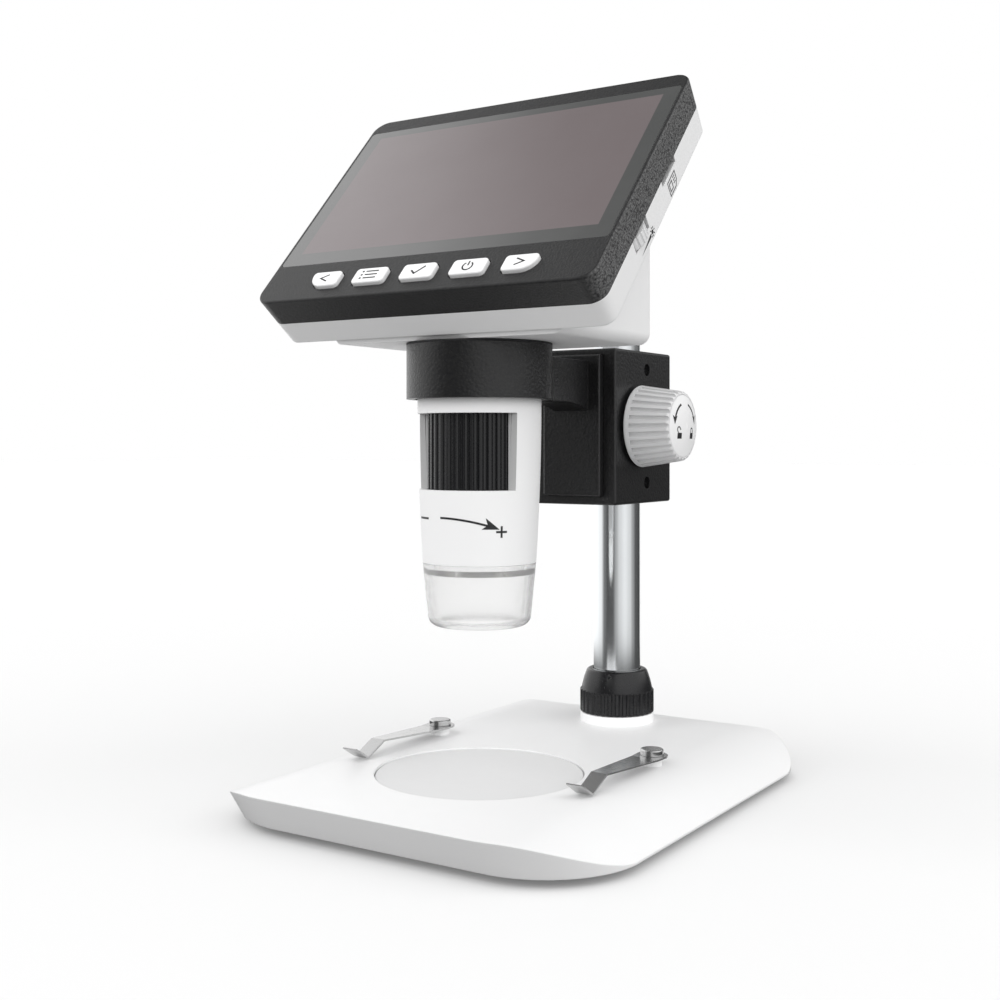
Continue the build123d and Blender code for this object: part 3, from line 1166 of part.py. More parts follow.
with BuildPart() as bezel:
    with BuildSketch(behind_face(0)):
        with Locations((0, BEZEL_V)):
            RectangleRounded(BEZEL_WIDTH, BEZEL_HEIGHT, BEZEL_CORNER_R)
    extrude(amount=BEZEL_DEPTH, taper=bezel_taper)
    fillet(bezel.faces().sort_by(Axis(FACE.origin, FACE.z_dir))[-1].edges(), BEZEL_EDGE_R)
    with BuildSketch(behind_face(FACE_THICKNESS)):
        with Locations((0, BEZEL_V)):
            shrink = 2 * (BEZEL_WALL + BEZEL_DRAFT * FACE_THICKNESS / BEZEL_DEPTH)
            RectangleRounded(BEZEL_WIDTH - shrink, BEZEL_HEIGHT - shrink, BEZEL_CORNER_R - BEZEL_WALL)
    extrude(amount=BEZEL_DEPTH - FACE_THICKNESS, taper=bezel_taper, mode=Mode.SUBTRACT)
    with BuildSketch(behind_face(0)):
        with Locations((0, PANE_V)):
            RectangleRounded(PANE_WIDTH + 2 * FIT, PANE_HEIGHT + 2 * FIT, PANE_CORNER_R)
    extrude(amount=PANE_THICKNESS, mode=Mode.SUBTRACT)
    with BuildSketch(behind_face(0)):
        Rectangle(ACTIVE_WIDTH + 2 * ACTIVE_BORDER, ACTIVE_HEIGHT + 2 * ACTIVE_BORDER)
    extrude(amount=FACE_THICKNESS, mode=Mode.SUBTRACT)
    with BuildSketch(behind_face(FACE_THICKNESS)):
        with Locations(*seen_from_behind(case_screw_places)):
            Circle(CASE_POST_R)
    extrude(amount=BEZEL_DEPTH - FACE_THICKNESS)
    with BuildSketch(behind_face(FACE_THICKNESS)):
        with Locations(*[(u, BUTTON_V) for u in post_u]):
            Circle(BUTTON_POST_R)
    extrude(amount=SWITCH_BACK - FIT - FACE_THICKNESS)
    with BuildSketch(behind_face(SWITCH_BACK - 2 * FIT)):
        with Locations(*[(u, BUTTON_V) for u in post_u]):
            Circle(BUTTON_POST_R / 2)
    extrude(amount=BUTTON_BOARD + BUTTON_PEG)
    for u in BUTTON_U:
        with BuildSketch(FACE):
            with Locations((u, BUTTON_V)):
                add(button_outline(u, GAP))
        extrude(amount=-FACE_THICKNESS, mode=Mode.SUBTRACT)
    with BuildSketch(behind_face(BEZEL_DEPTH)):
        with Locations(*seen_from_behind(case_screw_places)):
            Circle(CASE_SCREW_R + FIT)
    extrude(amount=-(BEZEL_DEPTH - FACE_THICKNESS), mode=Mode.SUBTRACT)
bezel.part.label = "bezel"
export_step(bezel.part, "parts/bezel.step")

with BuildPart() as display_window:
    with BuildSketch(behind_face(0)):
        with Locations((0, PANE_V)):
            RectangleRounded(PANE_WIDTH, PANE_HEIGHT, PANE_CORNER_R)
    extrude(amount=PANE_THICKNESS - FIT)
display_window.part.label = "display_window"
export_step(display_window.part, "parts/display_window.step")

with BuildPart() as lcd_panel:
    with BuildSketch(behind_face(LCD_FRONT)):
        with Locations((0, LCD_V)):
            Rectangle(LCD_WIDTH, LCD_HEIGHT)
    extrude(amount=LCD_THICKNESS)
lcd_panel.part.label = "lcd_panel"
export_step(lcd_panel.part, "parts/lcd_panel.step")

for button_name, u in zip(BUTTON_NAMES, BUTTON_U):
    with BuildPart() as button:
        with BuildSketch(below_face(FLANGE_FRONT)):
            with Locations((u, BUTTON_V)):
                add(button_outline(u, 0))
        extrude(amount=FLANGE_FRONT + BUTTON_PROUD)
        fillet(button.faces().sort_by(Axis(FACE.origin, FACE.z_dir))[-1].edges(), BUTTON_EDGE_R)
        with BuildSketch(below_face(FLANGE_FRONT)):
            with Locations((u, BUTTON_V)):
                add(button_outline(u, BUTTON_FLANGE))
        extrude(amount=-BUTTON_FLANGE_THICKNESS)
        with BuildSketch(below_face(FLANGE_BACK)):
            with Locations((u, BUTTON_V)):
                Rectangle(BUTTON_STEM, BUTTON_STEM)
        extrude(amount=-BUTTON_STEM_LENGTH)
    button.part.label = button_name
    export_step(button.part, f"parts/{button_name}.step")

with BuildPart() as switches:
    with BuildSketch(below_face(SWITCH_BACK)):
        with Locations(*[(u, BUTTON_V) for u in BUTTON_U]):
            Rectangle(SWITCH_SIDE, SWITCH_SIDE)
    extrude(amount=SWITCH_HEIGHT - SWITCH_TIP)
    with BuildSketch(below_face(SWITCH_FRONT + SWITCH_TIP)):
        with Locations(*[(u, BUTTON_V) for u in BUTTON_U]):
            Circle(SWITCH_SIDE / 2 - SWITCH_TIP)
    extrude(amount=SWITCH_TIP)
switches.part.label = "switches"
export_step(switches.part, "parts/switches.step")

with BuildPart() as button_board:
    with BuildSketch(behind_face(SWITCH_BACK)):
        with Locations((0, BUTTON_V)):
            Rectangle(BUTTON_BOARD_WIDTH, BUTTON_BOARD_HEIGHT)
        with Locations(*[(u, BUTTON_V) for u in post_u]):
            Circle(BUTTON_POST_R / 2 + FIT, mode=Mode.SUBTRACT)
    extrude(amount=BUTTON_BOARD)
button_board.part.label = "button_board"
export_step(button_board.part, "parts/button_board.step")


def wedge_form(inset):
    """The wedge between the display's tray and the barrel, drawn in by inset."""
    half = WEDGE_HALF - inset
    floor = floor_top if inset else SEAT
    back = OPTIC_Y + WEDGE_BEHIND - inset
    depth = HEAD_DEPTH - SHELL_WALL / 2 - inset
    toe = side_point(WEDGE_FOOT_V, HEAD_DEPTH)[0] + WEDGE_TOE + inset
    ridge = SEAT + WEDGE_BACK_RISE
    with BuildPart() as form:
        with BuildSketch(Plane.YZ) as section:
            with BuildLine():
                Polyline(
                    side_point(WEDGE_FOOT_V + inset, depth),
                    (toe, floor),
                    (back, floor),
                    (back, ridge),
                    side_point(WEDGE_TOP_V - 1.5 * inset, HEAD_DEPTH - inset),
                    side_point(WEDGE_TOP_V - 1.5 * inset, depth),
                    close=True,
                )
            make_face()
            fillet(section.vertices().sort_by_distance((back, floor))[0], WEDGE_EDGE_R - inset)
            fillet(section.vertices().sort_by_distance((back, ridge))[0], WEDGE_RIDGE_R - inset)
        extrude(amount=half, both=True)
        if not inset:
            side_edges = [edge for edge in form.edges() if abs(edge.center().X) > half - FIT]
            fillet([edge for edge in side_edges if depth_of(edge.center()) > HEAD_DEPTH], WEDGE_SIDE_R)
    return form.part


def depth_of(point):
    """How far a point lies behind the screen face."""
    return (point.Y - FACE_Y) * LEAN_COS - (point.Z - FACE_Z) * LEAN_SIN


with BuildPart() as rear_shell:
    shell_back = HEAD_DEPTH - SHELL_WALL
    battery_y = OPTIC_Y + BATTERY_BEHIND
    battery_z = SEAT + BATTERY_RISE
    with BuildSketch(behind_face(BEZEL_DEPTH)):
        with Locations((0, BEZEL_V)):
            RectangleRounded(SEAM_WIDTH, SEAM_HEIGHT, BEZEL_CORNER_R - BEZEL_DRAFT)
    extrude(amount=SHELL_DEPTH, taper=shell_taper)
    fillet(rear_shell.faces().sort_by(Axis(FACE.origin, -FACE.z_dir))[-1].edges(), SHELL_EDGE_R)
    add(wedge_form(0))
    with BuildSketch(behind_face(BEZEL_DEPTH)):
        with Locations((0, BEZEL_V)):
            RectangleRounded(
                SEAM_WIDTH - 2 * SHELL_WALL,
                SEAM_HEIGHT - 2 * SHELL_WALL,
                BEZEL_CORNER_R - BEZEL_DRAFT - SHELL_WALL,
            )
    extrude(amount=shell_back - BEZEL_DEPTH, taper=shell_taper, mode=Mode.SUBTRACT)
    add(wedge_form(WEDGE_WALL), mode=Mode.SUBTRACT)
    with BuildSketch(behind_face(BEZEL_DEPTH)):
        with Locations(*seen_from_behind(case_screw_places)):
            Circle(CASE_POST_R)
    extrude(amount=shell_back - BEZEL_DEPTH + FIT)
    with BuildSketch(behind_face(MAIN_BOARD_BACK)):
        with Locations(*seen_from_behind(board_screw_places)):
            Circle(CASE_POST_R)
    extrude(amount=MAIN_BOARD_STANDOFF + FIT)
    with Locations((-CRADLE_X, battery_y, floor_top - FIT), (CRADLE_X, battery_y, floor_top - FIT)):
        Box(CRADLE_THICKNESS, 2 * BATTERY_R, CRADLE_RISE, align=UP)
    with Locations((0, battery_y, battery_z)):
        Cylinder(BATTERY_R + FIT, BATTERY_LENGTH, rotation=(0, 90, 0), mode=Mode.SUBTRACT)
    with Locations((0, OPTIC_Y, SEAT)):
        Cylinder(BARREL_R + FIT, WEDGE_FLOOR, align=UP, mode=Mode.SUBTRACT)
    with Locations((0, OPTIC_Y, floor_top)):
        Cylinder(BARREL_FLANGE_R + GAP, BARREL_FLANGE + GAP, align=UP, mode=Mode.SUBTRACT)
    for ear_x, ear_y in ears:
        with Locations((ear_x, OPTIC_Y + ear_y, floor_top)):
            bite = BARREL_SCREW_LENGTH - BARREL_FLANGE + FIT
            Cylinder(BARREL_SCREW_R + FIT, bite, align=DOWN, mode=Mode.SUBTRACT)
    with BuildSketch(behind_face(HEAD_DEPTH)):
        with Locations(*seen_from_behind(case_screw_places)):
            Circle(CASE_SCREW_HEAD_R + FIT)
    extrude(amount=CASE_SCREW_SEAT - HEAD_DEPTH, mode=Mode.SUBTRACT)
    with BuildSketch(behind_face(HEAD_DEPTH)):
        with Locations(*seen_from_behind(case_screw_places)):
            Circle(CASE_SCREW_R + FIT)
    extrude(amount=BEZEL_DEPTH - HEAD_DEPTH, mode=Mode.SUBTRACT)
    with BuildSketch(behind_face(MAIN_BOARD_BACK)):
        with Locations(*seen_from_behind(board_screw_places)):
            Circle(BOARD_SCREW_R + FIT)
    extrude(amount=BOARD_SCREW_LENGTH - MAIN_BOARD + FIT, mode=Mode.SUBTRACT)
    with BuildSketch(below_face(BEZEL_DEPTH)):
        with Locations((SEAM_WIDTH / 2, SLOT_V)):
            Rectangle(4 * SHELL_WALL, SLOT_LENGTH)
    extrude(amount=-SLOT_DEPTH, mode=Mode.SUBTRACT)
    with BuildSketch(below_face(BEZEL_DEPTH)):
        with Locations((SEAM_WIDTH / 2, DIMMER_V)):
            Rectangle(5 * SHELL_WALL, DIMMER_SLOT)
    extrude(amount=BEZEL_DEPTH - DIMMER_BACK - GAP, mode=Mode.SUBTRACT)
    with BuildSketch(below_face(BEZEL_DEPTH)):
        with Locations((DIMMER_U, DIMMER_V)):
            Circle(DIMMER_R + GAP)
    extrude(amount=BEZEL_DEPTH - DIMMER_BACK - GAP, mode=Mode.SUBTRACT)
    with BuildSketch(below_face(PORT_FRONT - FIT)):
        with Locations((-SEAM_WIDTH / 2, PORT_V)):
            Rectangle(4 * SHELL_WALL, PORT_SIZE[1] + 2 * FIT)
    extrude(amount=-PORT_SIZE[2] - 2 * FIT, mode=Mode.SUBTRACT)
rear_shell.part.label = "rear_shell"
export_step(rear_shell.part, "parts/rear_shell.step")

with BuildPart() as shell_screws:
    with Locations(behind_face(CASE_SCREW_SEAT)):
        with Locations(*seen_from_behind(case_screw_places)):
            add(screw(CASE_SCREW_HEAD_R, CASE_SCREW_HEAD, CASE_SCREW_R, CASE_SCREW_LENGTH))
shell_screws.part.label = "shell_screws"
export_step(shell_screws.part, "parts/shell_screws.step")

with BuildPart() as main_board:
    board_middle_u = (MAIN_BOARD_RIGHT + MAIN_BOARD_LEFT) / 2
    board_middle_v = (MAIN_BOARD_TOP_V + MAIN_BOARD_BOTTOM_V) / 2
    port_end_u = -PORT_OUT + PORT_SIZE[0]
    with BuildSketch(below_face(MAIN_BOARD_BACK)):
        with Locations((board_middle_u, board_middle_v)):
            Rectangle(MAIN_BOARD_RIGHT - MAIN_BOARD_LEFT, MAIN_BOARD_TOP_V - MAIN_BOARD_BOTTOM_V)
        with Locations((DIMMER_U, DIMMER_V)):
            notch = 2 * (DIMMER_R + 2 * GAP)
            Rectangle(notch, notch, mode=Mode.SUBTRACT)
        with Locations((DIMMER_U, MAIN_BOARD_BOTTOM_V)):
            Rectangle(notch, notch, mode=Mode.SUBTRACT)
        with Locations((MAIN_BOARD_LEFT, PORT_V)):
            Rectangle(2 * (port_end_u + FIT - MAIN_BOARD_LEFT), PORT_SIZE[1] + 2 * FIT, mode=Mode.SUBTRACT)
        with Locations(*board_screw_places):
            Circle(BOARD_SCREW_R + FIT, mode=Mode.SUBTRACT)
    extrude(amount=MAIN_BOARD)
main_board.part.label = "main_board"
export_step(main_board.part, "parts/main_board.step")

with BuildPart() as board_screws:
    with Locations(below_face(MAIN_BOARD_FRONT)):
        with Locations(*board_screw_places):
            add(screw(BOARD_SCREW_HEAD_R, BOARD_SCREW_HEAD, BOARD_SCREW_R, BOARD_SCREW_LENGTH))
board_screws.part.label = "board_screws"
export_step(board_screws.part, "parts/board_screws.step")

with BuildPart() as card_socket:
    with BuildSketch(below_face(MAIN_BOARD_FRONT)):
        with Locations((CAVITY_HALF - FIT - CARD_SOCKET[0] / 2, SLOT_V)):
            Rectangle(CARD_SOCKET[0], CARD_SOCKET[1])
    extrude(amount=CARD_SOCKET[2])
    with BuildSketch(below_face(MAIN_BOARD_FRONT - CARD_FLOOR)):
        with Locations((CAVITY_HALF - CARD_SOCKET[0] / 2 + CARD_BACK_WALL, SLOT_V)):
            Rectangle(CARD_SOCKET[0], SLOT_LENGTH)
    extrude(amount=CARD_SPACE, mode=Mode.SUBTRACT)
card_socket.part.label = "card_socket"
export_step(card_socket.part, "parts/card_socket.step")

with BuildPart() as charge_port:
    port_middle_u = -PORT_OUT + PORT_SIZE[0] / 2
    with BuildSketch(below_face(PORT_FRONT + PORT_SIZE[2])):
        with Locations((port_middle_u, PORT_V)):
            Rectangle(PORT_SIZE[0], PORT_SIZE[1])
    extrude(amount=PORT_SIZE[2])
    with BuildSketch(below_face(PORT_FRONT + PORT_SIZE[2] - PORT_WALL)):
        with Locations((port_middle_u - PORT_BACK_WALL, PORT_V)):
            Rectangle(PORT_SIZE[0], PORT_SIZE[1] - 2 * PORT_WALL)
    extrude(amount=PORT_SIZE[2] - 2 * PORT_WALL, mode=Mode.SUBTRACT)
    with BuildSketch(below_face(PORT_FRONT + (PORT_SIZE[2] + PORT_TONGUE) / 2)):
        with Locations((port_middle_u + PORT_TONGUE_BACK, PORT_V)):
            Rectangle(PORT_SIZE[0] - 2 * PORT_TONGUE_BACK, PORT_SIZE[1] / 2)
    extrude(amount=PORT_TONGUE)
charge_port.part.label = "charge_port"
export_step(charge_port.part, "parts/charge_port.step")

with BuildPart() as brightness_wheel:
    with BuildSketch(below_face(DIMMER_BACK)):
        with Locations((DIMMER_U, DIMMER_V)):
            Circle(DIMMER_R)
            with PolarLocations(DIMMER_R + DIMMER_RIB_R - DIMMER_RIB_DEPTH, DIMMER_RIBS):
                Circle(DIMMER_RIB_R, mode=Mode.SUBTRACT)
            Circle(DIMMER_SHAFT_R + FIT, mode=Mode.SUBTRACT)
    extrude(amount=DIMMER_THICKNESS)
brightness_wheel.part.label = "brightness_wheel"
export_step(brightness_wheel.part, "parts/brightness_wheel.step")

with BuildPart() as dimmer_pot:
    with BuildSketch(below_face(shell_back - FIT)):
        with Locations((DIMMER_U - DIMMER_SHIFT, DIMMER_V)):
            RectangleRounded(2 * (DIMMER_POT_R - DIMMER_SHIFT), 2 * DIMMER_POT_R, DIMMER_POT_CORNER_R)
    extrude(amount=shell_back - FIT - DIMMER_BACK - FIT)
    with BuildSketch(below_face(DIMMER_BACK + FIT)):
        with Locations((DIMMER_U, DIMMER_V)):
            Circle(DIMMER_SHAFT_R)
    extrude(amount=DIMMER_THICKNESS)
dimmer_pot.part.label = "dimmer_pot"
export_step(dimmer_pot.part, "parts/dimmer_pot.step")

with BuildPart() as battery:
    with Locations((0, battery_y, battery_z)):
        Cylinder(BATTERY_R, BATTERY_LENGTH - 2 * FIT, rotation=(0, 90, 0))
    fillet(battery.edges().filter_by(GeomType.CIRCLE), BATTERY_EDGE_R)
battery.part.label = "battery"
export_step(battery.part, "parts/battery.step")
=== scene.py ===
"""Looks of the digital microscope: materials, printed symbols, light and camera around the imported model."""

import json
import math

import bpy
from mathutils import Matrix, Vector
from mathutils.bvhtree import BVHTree


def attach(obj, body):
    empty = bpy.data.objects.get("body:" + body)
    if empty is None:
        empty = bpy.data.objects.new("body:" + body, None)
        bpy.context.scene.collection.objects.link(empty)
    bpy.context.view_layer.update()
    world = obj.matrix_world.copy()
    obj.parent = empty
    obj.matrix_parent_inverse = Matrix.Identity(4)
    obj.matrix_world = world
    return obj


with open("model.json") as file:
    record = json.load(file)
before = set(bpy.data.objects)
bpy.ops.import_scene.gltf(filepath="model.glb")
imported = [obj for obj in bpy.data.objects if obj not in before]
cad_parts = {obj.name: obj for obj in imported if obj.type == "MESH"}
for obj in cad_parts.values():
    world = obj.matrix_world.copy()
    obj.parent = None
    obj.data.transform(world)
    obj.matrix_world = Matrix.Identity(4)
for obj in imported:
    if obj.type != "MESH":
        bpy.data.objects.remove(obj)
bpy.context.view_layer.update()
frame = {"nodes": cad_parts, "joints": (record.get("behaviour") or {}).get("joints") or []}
NODES = frame["nodes"]
JOINTS = {joint["name"]: joint for joint in frame["joints"]}

MM = 0.001
FACE_NORMAL = -Vector(JOINTS["button_menu_press"]["axis"]).normalized()
FACE_UP = Vector((0, FACE_NORMAL.z, -FACE_NORMAL.y))
OPTIC = Vector(JOINTS["focus_turn"]["pos_m"])
KNOB = Vector(JOINTS["lock_turn"]["pos_m"])
POLE = Vector(JOINTS["bracket_swivel"]["pos_m"])

# Display, measured on the glass
ACTIVE_WIDTH = 95.04 * MM
ACTIVE_HEIGHT = 53.86 * MM
ACTIVE_ABOVE_CENTRE = 1.05 * MM  # middle of the active area above the middle of the glass
ACTIVE_EDGE = 0.25 * MM
SHADE_LEAN = 0.35  # how much a step up counts against a step to the right in the painted shading of the screen

# Printing
INK_LIFT = 0.02 * MM
INK_THICKNESS = 0.03 * MM
INK_STEP = 0.5  # longest side of a printed facet, in millimetres
START_AWAY = 50 * MM  # printing is laid on from this far outside


# ---------------------------------------------------------------- places read from the frame


def face_coordinates(point):
    """(u, v, height) of a point: across the screen face, up it, and out of it."""
    return point.x, point.dot(FACE_UP), point.dot(FACE_NORMAL)


def face_box(name):
    """Lowest and highest (u, v, height) of a CAD node in the screen's own directions."""
    rows = [face_coordinates(vertex.co) for vertex in NODES[name].data.vertices]
    return [min(row[k] for row in rows) for k in range(3)], [max(row[k] for row in rows) for k in range(3)]


def face_point(u, v, height):
    """The point with these screen coordinates."""
    return Vector((u, 0, 0)) + FACE_UP * v + FACE_NORMAL * height


GLASS_LOW, GLASS_HIGH = face_box("display_window")
GLASS_V = (GLASS_LOW[1] + GLASS_HIGH[1]) / 2
ACTIVE_V = GLASS_V + ACTIVE_ABOVE_CENTRE


# ---------------------------------------------------------------- node graph helpers


def new_material(name):
    """A new material and its node tree, which holds a Principled shader and an output."""
    material = bpy.data.materials.new(name)
    material.use_nodes = True
    return material, material.node_tree


def node(tree, kind, settings=None, **inputs):
    """A shader node; an input, named or numbered i0, i1..., is a value or another node's output."""
    made = tree.nodes.new(kind)
    for key, value in (settings or {}).items():
        setattr(made, key, value)
    for key, value in inputs.items():
        socket = made.inputs[int(key[1:])] if key[0] == "i" and key[1:].isdigit() else made.inputs[key]
        if isinstance(value, bpy.types.NodeSocket):
            tree.links.new(value, socket)
        else:
            socket.default_value = value
    return made


def math_node(tree, operation, a, b=0.0):
    """One arithmetic step."""
    return node(tree, "ShaderNodeMath", {"operation": operation}, i0=a, i1=b).outputs[0]


def vector_node(tree, operation, a, b=(0, 0, 0)):
    """One step of vector arithmetic, with its Vector and Value outputs."""
    return node(tree, "ShaderNodeVectorMath", {"operation": operation}, i0=a, i1=b).outputs


def blend_colours(tree, factor, low, high):
    """Mix of two colours or colour sockets."""
    mix = node(tree, "ShaderNodeMix", {"data_type": "RGBA"}, i0=factor)
    for socket, value in ((mix.inputs[6], low), (mix.inputs[7], high)):
        if isinstance(value, bpy.types.NodeSocket):
            tree.links.new(value, socket)
        else:
            socket.default_value = (*value, 1)
    return mix.outputs[2]


def object_place(tree):
    """Place on the object in metres."""
    return node(tree, "ShaderNodeTexCoord").outputs["Object"]


def object_normal(tree):
    """Way that the surface looks, in the object's own directions."""
    return node(tree, "ShaderNodeTexCoord").outputs["Normal"]


def along(tree, vector, direction):
    """How far a vector reaches in a direction."""
    return vector_node(tree, "DOT_PRODUCT", vector, tuple(direction))["Value"]


def noise(tree, place, per_metre, detail=2.0, roughness=0.5, stretch=None):
    """Noise with a given number of lumps to the metre; stretch squeezes it along chosen axes."""
    if stretch:
        place = vector_node(tree, "MULTIPLY", place, stretch)["Vector"]
    inputs = {"Vector": place, "Scale": per_metre, "Detail": detail, "Roughness": roughness}
    return node(tree, "ShaderNodeTexNoise", None, **inputs).outputs[0]


def remap(tree, value, low, high, to_low=0.0, to_high=1.0, smooth=False):
    """Value mapped from one range to another, clamped."""
    settings = {"interpolation_type": "SMOOTHSTEP"} if smooth else None
    made = node(tree, "ShaderNodeMapRange", settings, i0=value, i1=low, i2=high, i3=to_low, i4=to_high)
    return made.outputs[0]


def within(tree, value, half, edge):
    """1 where a value lies within half of zero, falling to 0 over the edge."""
    return remap(tree, math_node(tree, "ABSOLUTE", value), half, half + edge, 1, 0)


def bump(tree, height, distance, under=None, strength=1.0):
    """A bump of the given height in metres over the normals below it."""
    made = node(tree, "ShaderNodeBump", None, Height=height, Distance=distance, Strength=strength)
    if under is not None:
        tree.links.new(under, made.inputs["Normal"])
    return made.outputs[0]


def rounded_edges(tree, radius):
    """Normals that round the edges off a little, as a moulding tool leaves them."""
    return node(tree, "ShaderNodeBevel", {"samples": 6}, Radius=radius).outputs[0]


def steps_ramp(tree, factor, stops):
    """A smooth grey ramp through (position, level) stops."""
    ramp = node(tree, "ShaderNodeValToRGB", None, Fac=factor)
    ramp.color_ramp.interpolation = "EASE"
    elements = ramp.color_ramp.elements
    while len(elements) > 1:
        elements.remove(elements[0])
    stops = sorted(stops)
    elements[0].position, level = stops[0]
    elements[0].color = (level, level, level, 1)
    for position, level in stops[1:]:
        elements.new(position).color = (level, level, level, 1)
    return ramp.outputs["Color"]


def dress(tree, colour=None, rough=None, normal=None, **values):
    """Links what varies over the surface to the Principled shader and sets its constants on its sockets."""
    shader = next(n for n in tree.nodes if n.type == "BSDF_PRINCIPLED")
    for socket, source in (("Base Color", colour), ("Roughness", rough), ("Normal", normal)):
        if source is not None:
            tree.links.new(source, shader.inputs[socket])
    for key, value in values.items():
        shader.inputs[key.replace("_", " ")].default_value = value


# ---------------------------------------------------------------- materials

GRAIN = 0.35 * MM  # size of the spark-eroded grain
NOISE_SPAN = (0.3, 0.7)  # most values of a noise lie in here
CREASE_SHADE = 0.55  # share of its colour that painted shade leaves in a crease
CHEEK_SHADE = 0.50  # share of its colour that painted shade leaves on the cheek of a window
CHEEK_OUTWARD = 0.4  # most that the normal of a cheek points away from the axis or towards it
CHEEK_UPWARD = 0.3  # most that it points up or down
CHEEK_BLEND = 0.3  # how far past these a face stops being a cheek at all
# How far a normal points right or left where a face starts to count as a side, and where it counts in full
SIDEWAYS = (0.3, 0.9)
PATCH_SHADE = 0.94  # share of its colour that the darker patches of a metal keep

# Leather grain; sizes are shares of a cell
WANDER_SIZE = 1.6  # lumps of the noise that bends the creases
WANDER_REACH = 0.8  # and how far it bends them
CRUMB_SIZE = 0.3  # fine grain on top of the cells
CRUMB_HEIGHT = 0.5
CREASE_SPAN = (0.2, 0.7)  # distance from a cell's middle where its top ends, and where its crease is reached
GRAIN_RUB = 0.06  # how far the roughness varies either way
SCUFF = 1.5  # its tops are this many times as light as its creases


def window_cheeks(tree, place, axis):
    """1 on upright faces that look round an upright axis rather than away from it, 0 elsewhere: the mask of
    the painted shade on window cheeks.
    """
    offset = vector_node(tree, "SUBTRACT", place, tuple(axis))["Vector"]
    level = vector_node(tree, "MULTIPLY", offset, (1, 1, 0))["Vector"]
    away = vector_node(tree, "NORMALIZE", level)["Vector"]
    normal = object_normal(tree)
    outward = vector_node(tree, "DOT_PRODUCT", normal, away)["Value"]
    upward = along(tree, normal, (0, 0, 1))
    around = within(tree, outward, CHEEK_OUTWARD, CHEEK_BLEND)
    return math_node(tree, "MULTIPLY", around, within(tree, upward, CHEEK_UPWARD, CHEEK_BLEND))


def moulded_plastic(
    name,
    colour,
    roughness,
    grain_height_mm=0.004,
    mottling=0.01,
    edge_mm=0.25,
    crease_mm=0.0,
    window_round=None,
    **values,
):
    """Moulded plastic: a spark-eroded grain, faint mottling of the colour and softly rounded edges.

    Where crease_mm is set, painted shade darkens creases of that size. With window_round, an upright axis,
    painted shade greys the cheeks of windows in the wall round it.
    """
    material, tree = new_material(name)
    place = object_place(tree)
    grain = noise(tree, place, 1 / GRAIN, detail=3.0, roughness=0.6)
    cloud = noise(tree, place, per_metre=60.0, detail=4.0)
    rub = noise(tree, place, per_metre=220.0, detail=5.0, roughness=0.65)
    dark = tuple(c * (1 - mottling) for c in colour)
    light = tuple(c * (1 + mottling) for c in colour)
    mottled = blend_colours(tree, cloud, dark, light)
    if crease_mm:
        # painted shade: an occlusion node darkens creases towards CREASE_SHADE of the colour
        openness = node(tree, "ShaderNodeAmbientOcclusion", {"samples": 8}, Distance=crease_mm * MM)
        crease_painted_shade = tuple(c * CREASE_SHADE for c in colour)
        mottled = blend_colours(tree, openness.outputs["AO"], crease_painted_shade, mottled)
    if window_round is not None:
        # painted shade greys the cheeks of the windows
        painted_cheek_shade = tuple(c * CHEEK_SHADE for c in colour)
        mottled = blend_colours(tree, window_cheeks(tree, place, window_round), mottled, painted_cheek_shade)
    dress(
        tree,
        mottled,
        remap(tree, rub, *NOISE_SPAN, roughness - 0.05, roughness + 0.06),
        bump(tree, grain, grain_height_mm * MM, rounded_edges(tree, edge_mm * MM)),
        **values,
    )
    return material


def leather_grain_plastic(name, colour, roughness, cell_mm, height_mm, elsewhere=1.0, side_painted_light=SCUFF):
    """Black plastic with a coarse leather grain of creased cells.

    On the right and left faces the grain has its full height, and its tops are side_painted_light times as
    light as its creases, which is painted light on those sides. On the others its height is the share
    elsewhere of that, and its tops SCUFF times as light.
    """
    material, tree = new_material(name)
    place = object_place(tree)
    wander = noise(tree, place, 1 / (WANDER_SIZE * cell_mm * MM), detail=2.0)
    warp = math_node(tree, "MULTIPLY", wander, WANDER_REACH * cell_mm * MM)
    shifted = vector_node(tree, "ADD", place, warp)["Vector"]
    cells = node(
        tree, "ShaderNodeTexVoronoi", {"feature": "SMOOTH_F1"}, Vector=shifted, Scale=1 / (cell_mm * MM)
    ).outputs["Distance"]
    fine = noise(tree, place, 1 / (CRUMB_SIZE * cell_mm * MM), detail=3.0, roughness=0.6)
    crumbs = math_node(tree, "MULTIPLY", fine, CRUMB_HEIGHT)
    relief = math_node(tree, "SUBTRACT", crumbs, cells)
    # painted light: the tops on the right and left faces are made lighter than elsewhere
    facing = math_node(tree, "ABSOLUTE", along(tree, object_normal(tree), (1, 0, 0)))
    relief = math_node(tree, "MULTIPLY", relief, remap(tree, facing, *SIDEWAYS, elsewhere, 1.0))
    scuff_and_side_light = remap(tree, facing, *SIDEWAYS, SCUFF * colour[0], side_painted_light * colour[0])
    worn_and_side_lit = node(tree, "ShaderNodeCombineColor", None, Red=scuff_and_side_light, Green=scuff_and_side_light, Blue=scuff_and_side_light).outputs[0]
    dress(
        tree,
        blend_colours(tree, remap(tree, cells, *CREASE_SPAN), worn_and_side_lit, colour),
        remap(tree, fine, *NOISE_SPAN, roughness - GRAIN_RUB, roughness + GRAIN_RUB),
        bump(tree, relief, height_mm * MM, rounded_edges(tree, 0.3 * MM)),
        Specular_IOR_Level=0.5,
    )
    return material


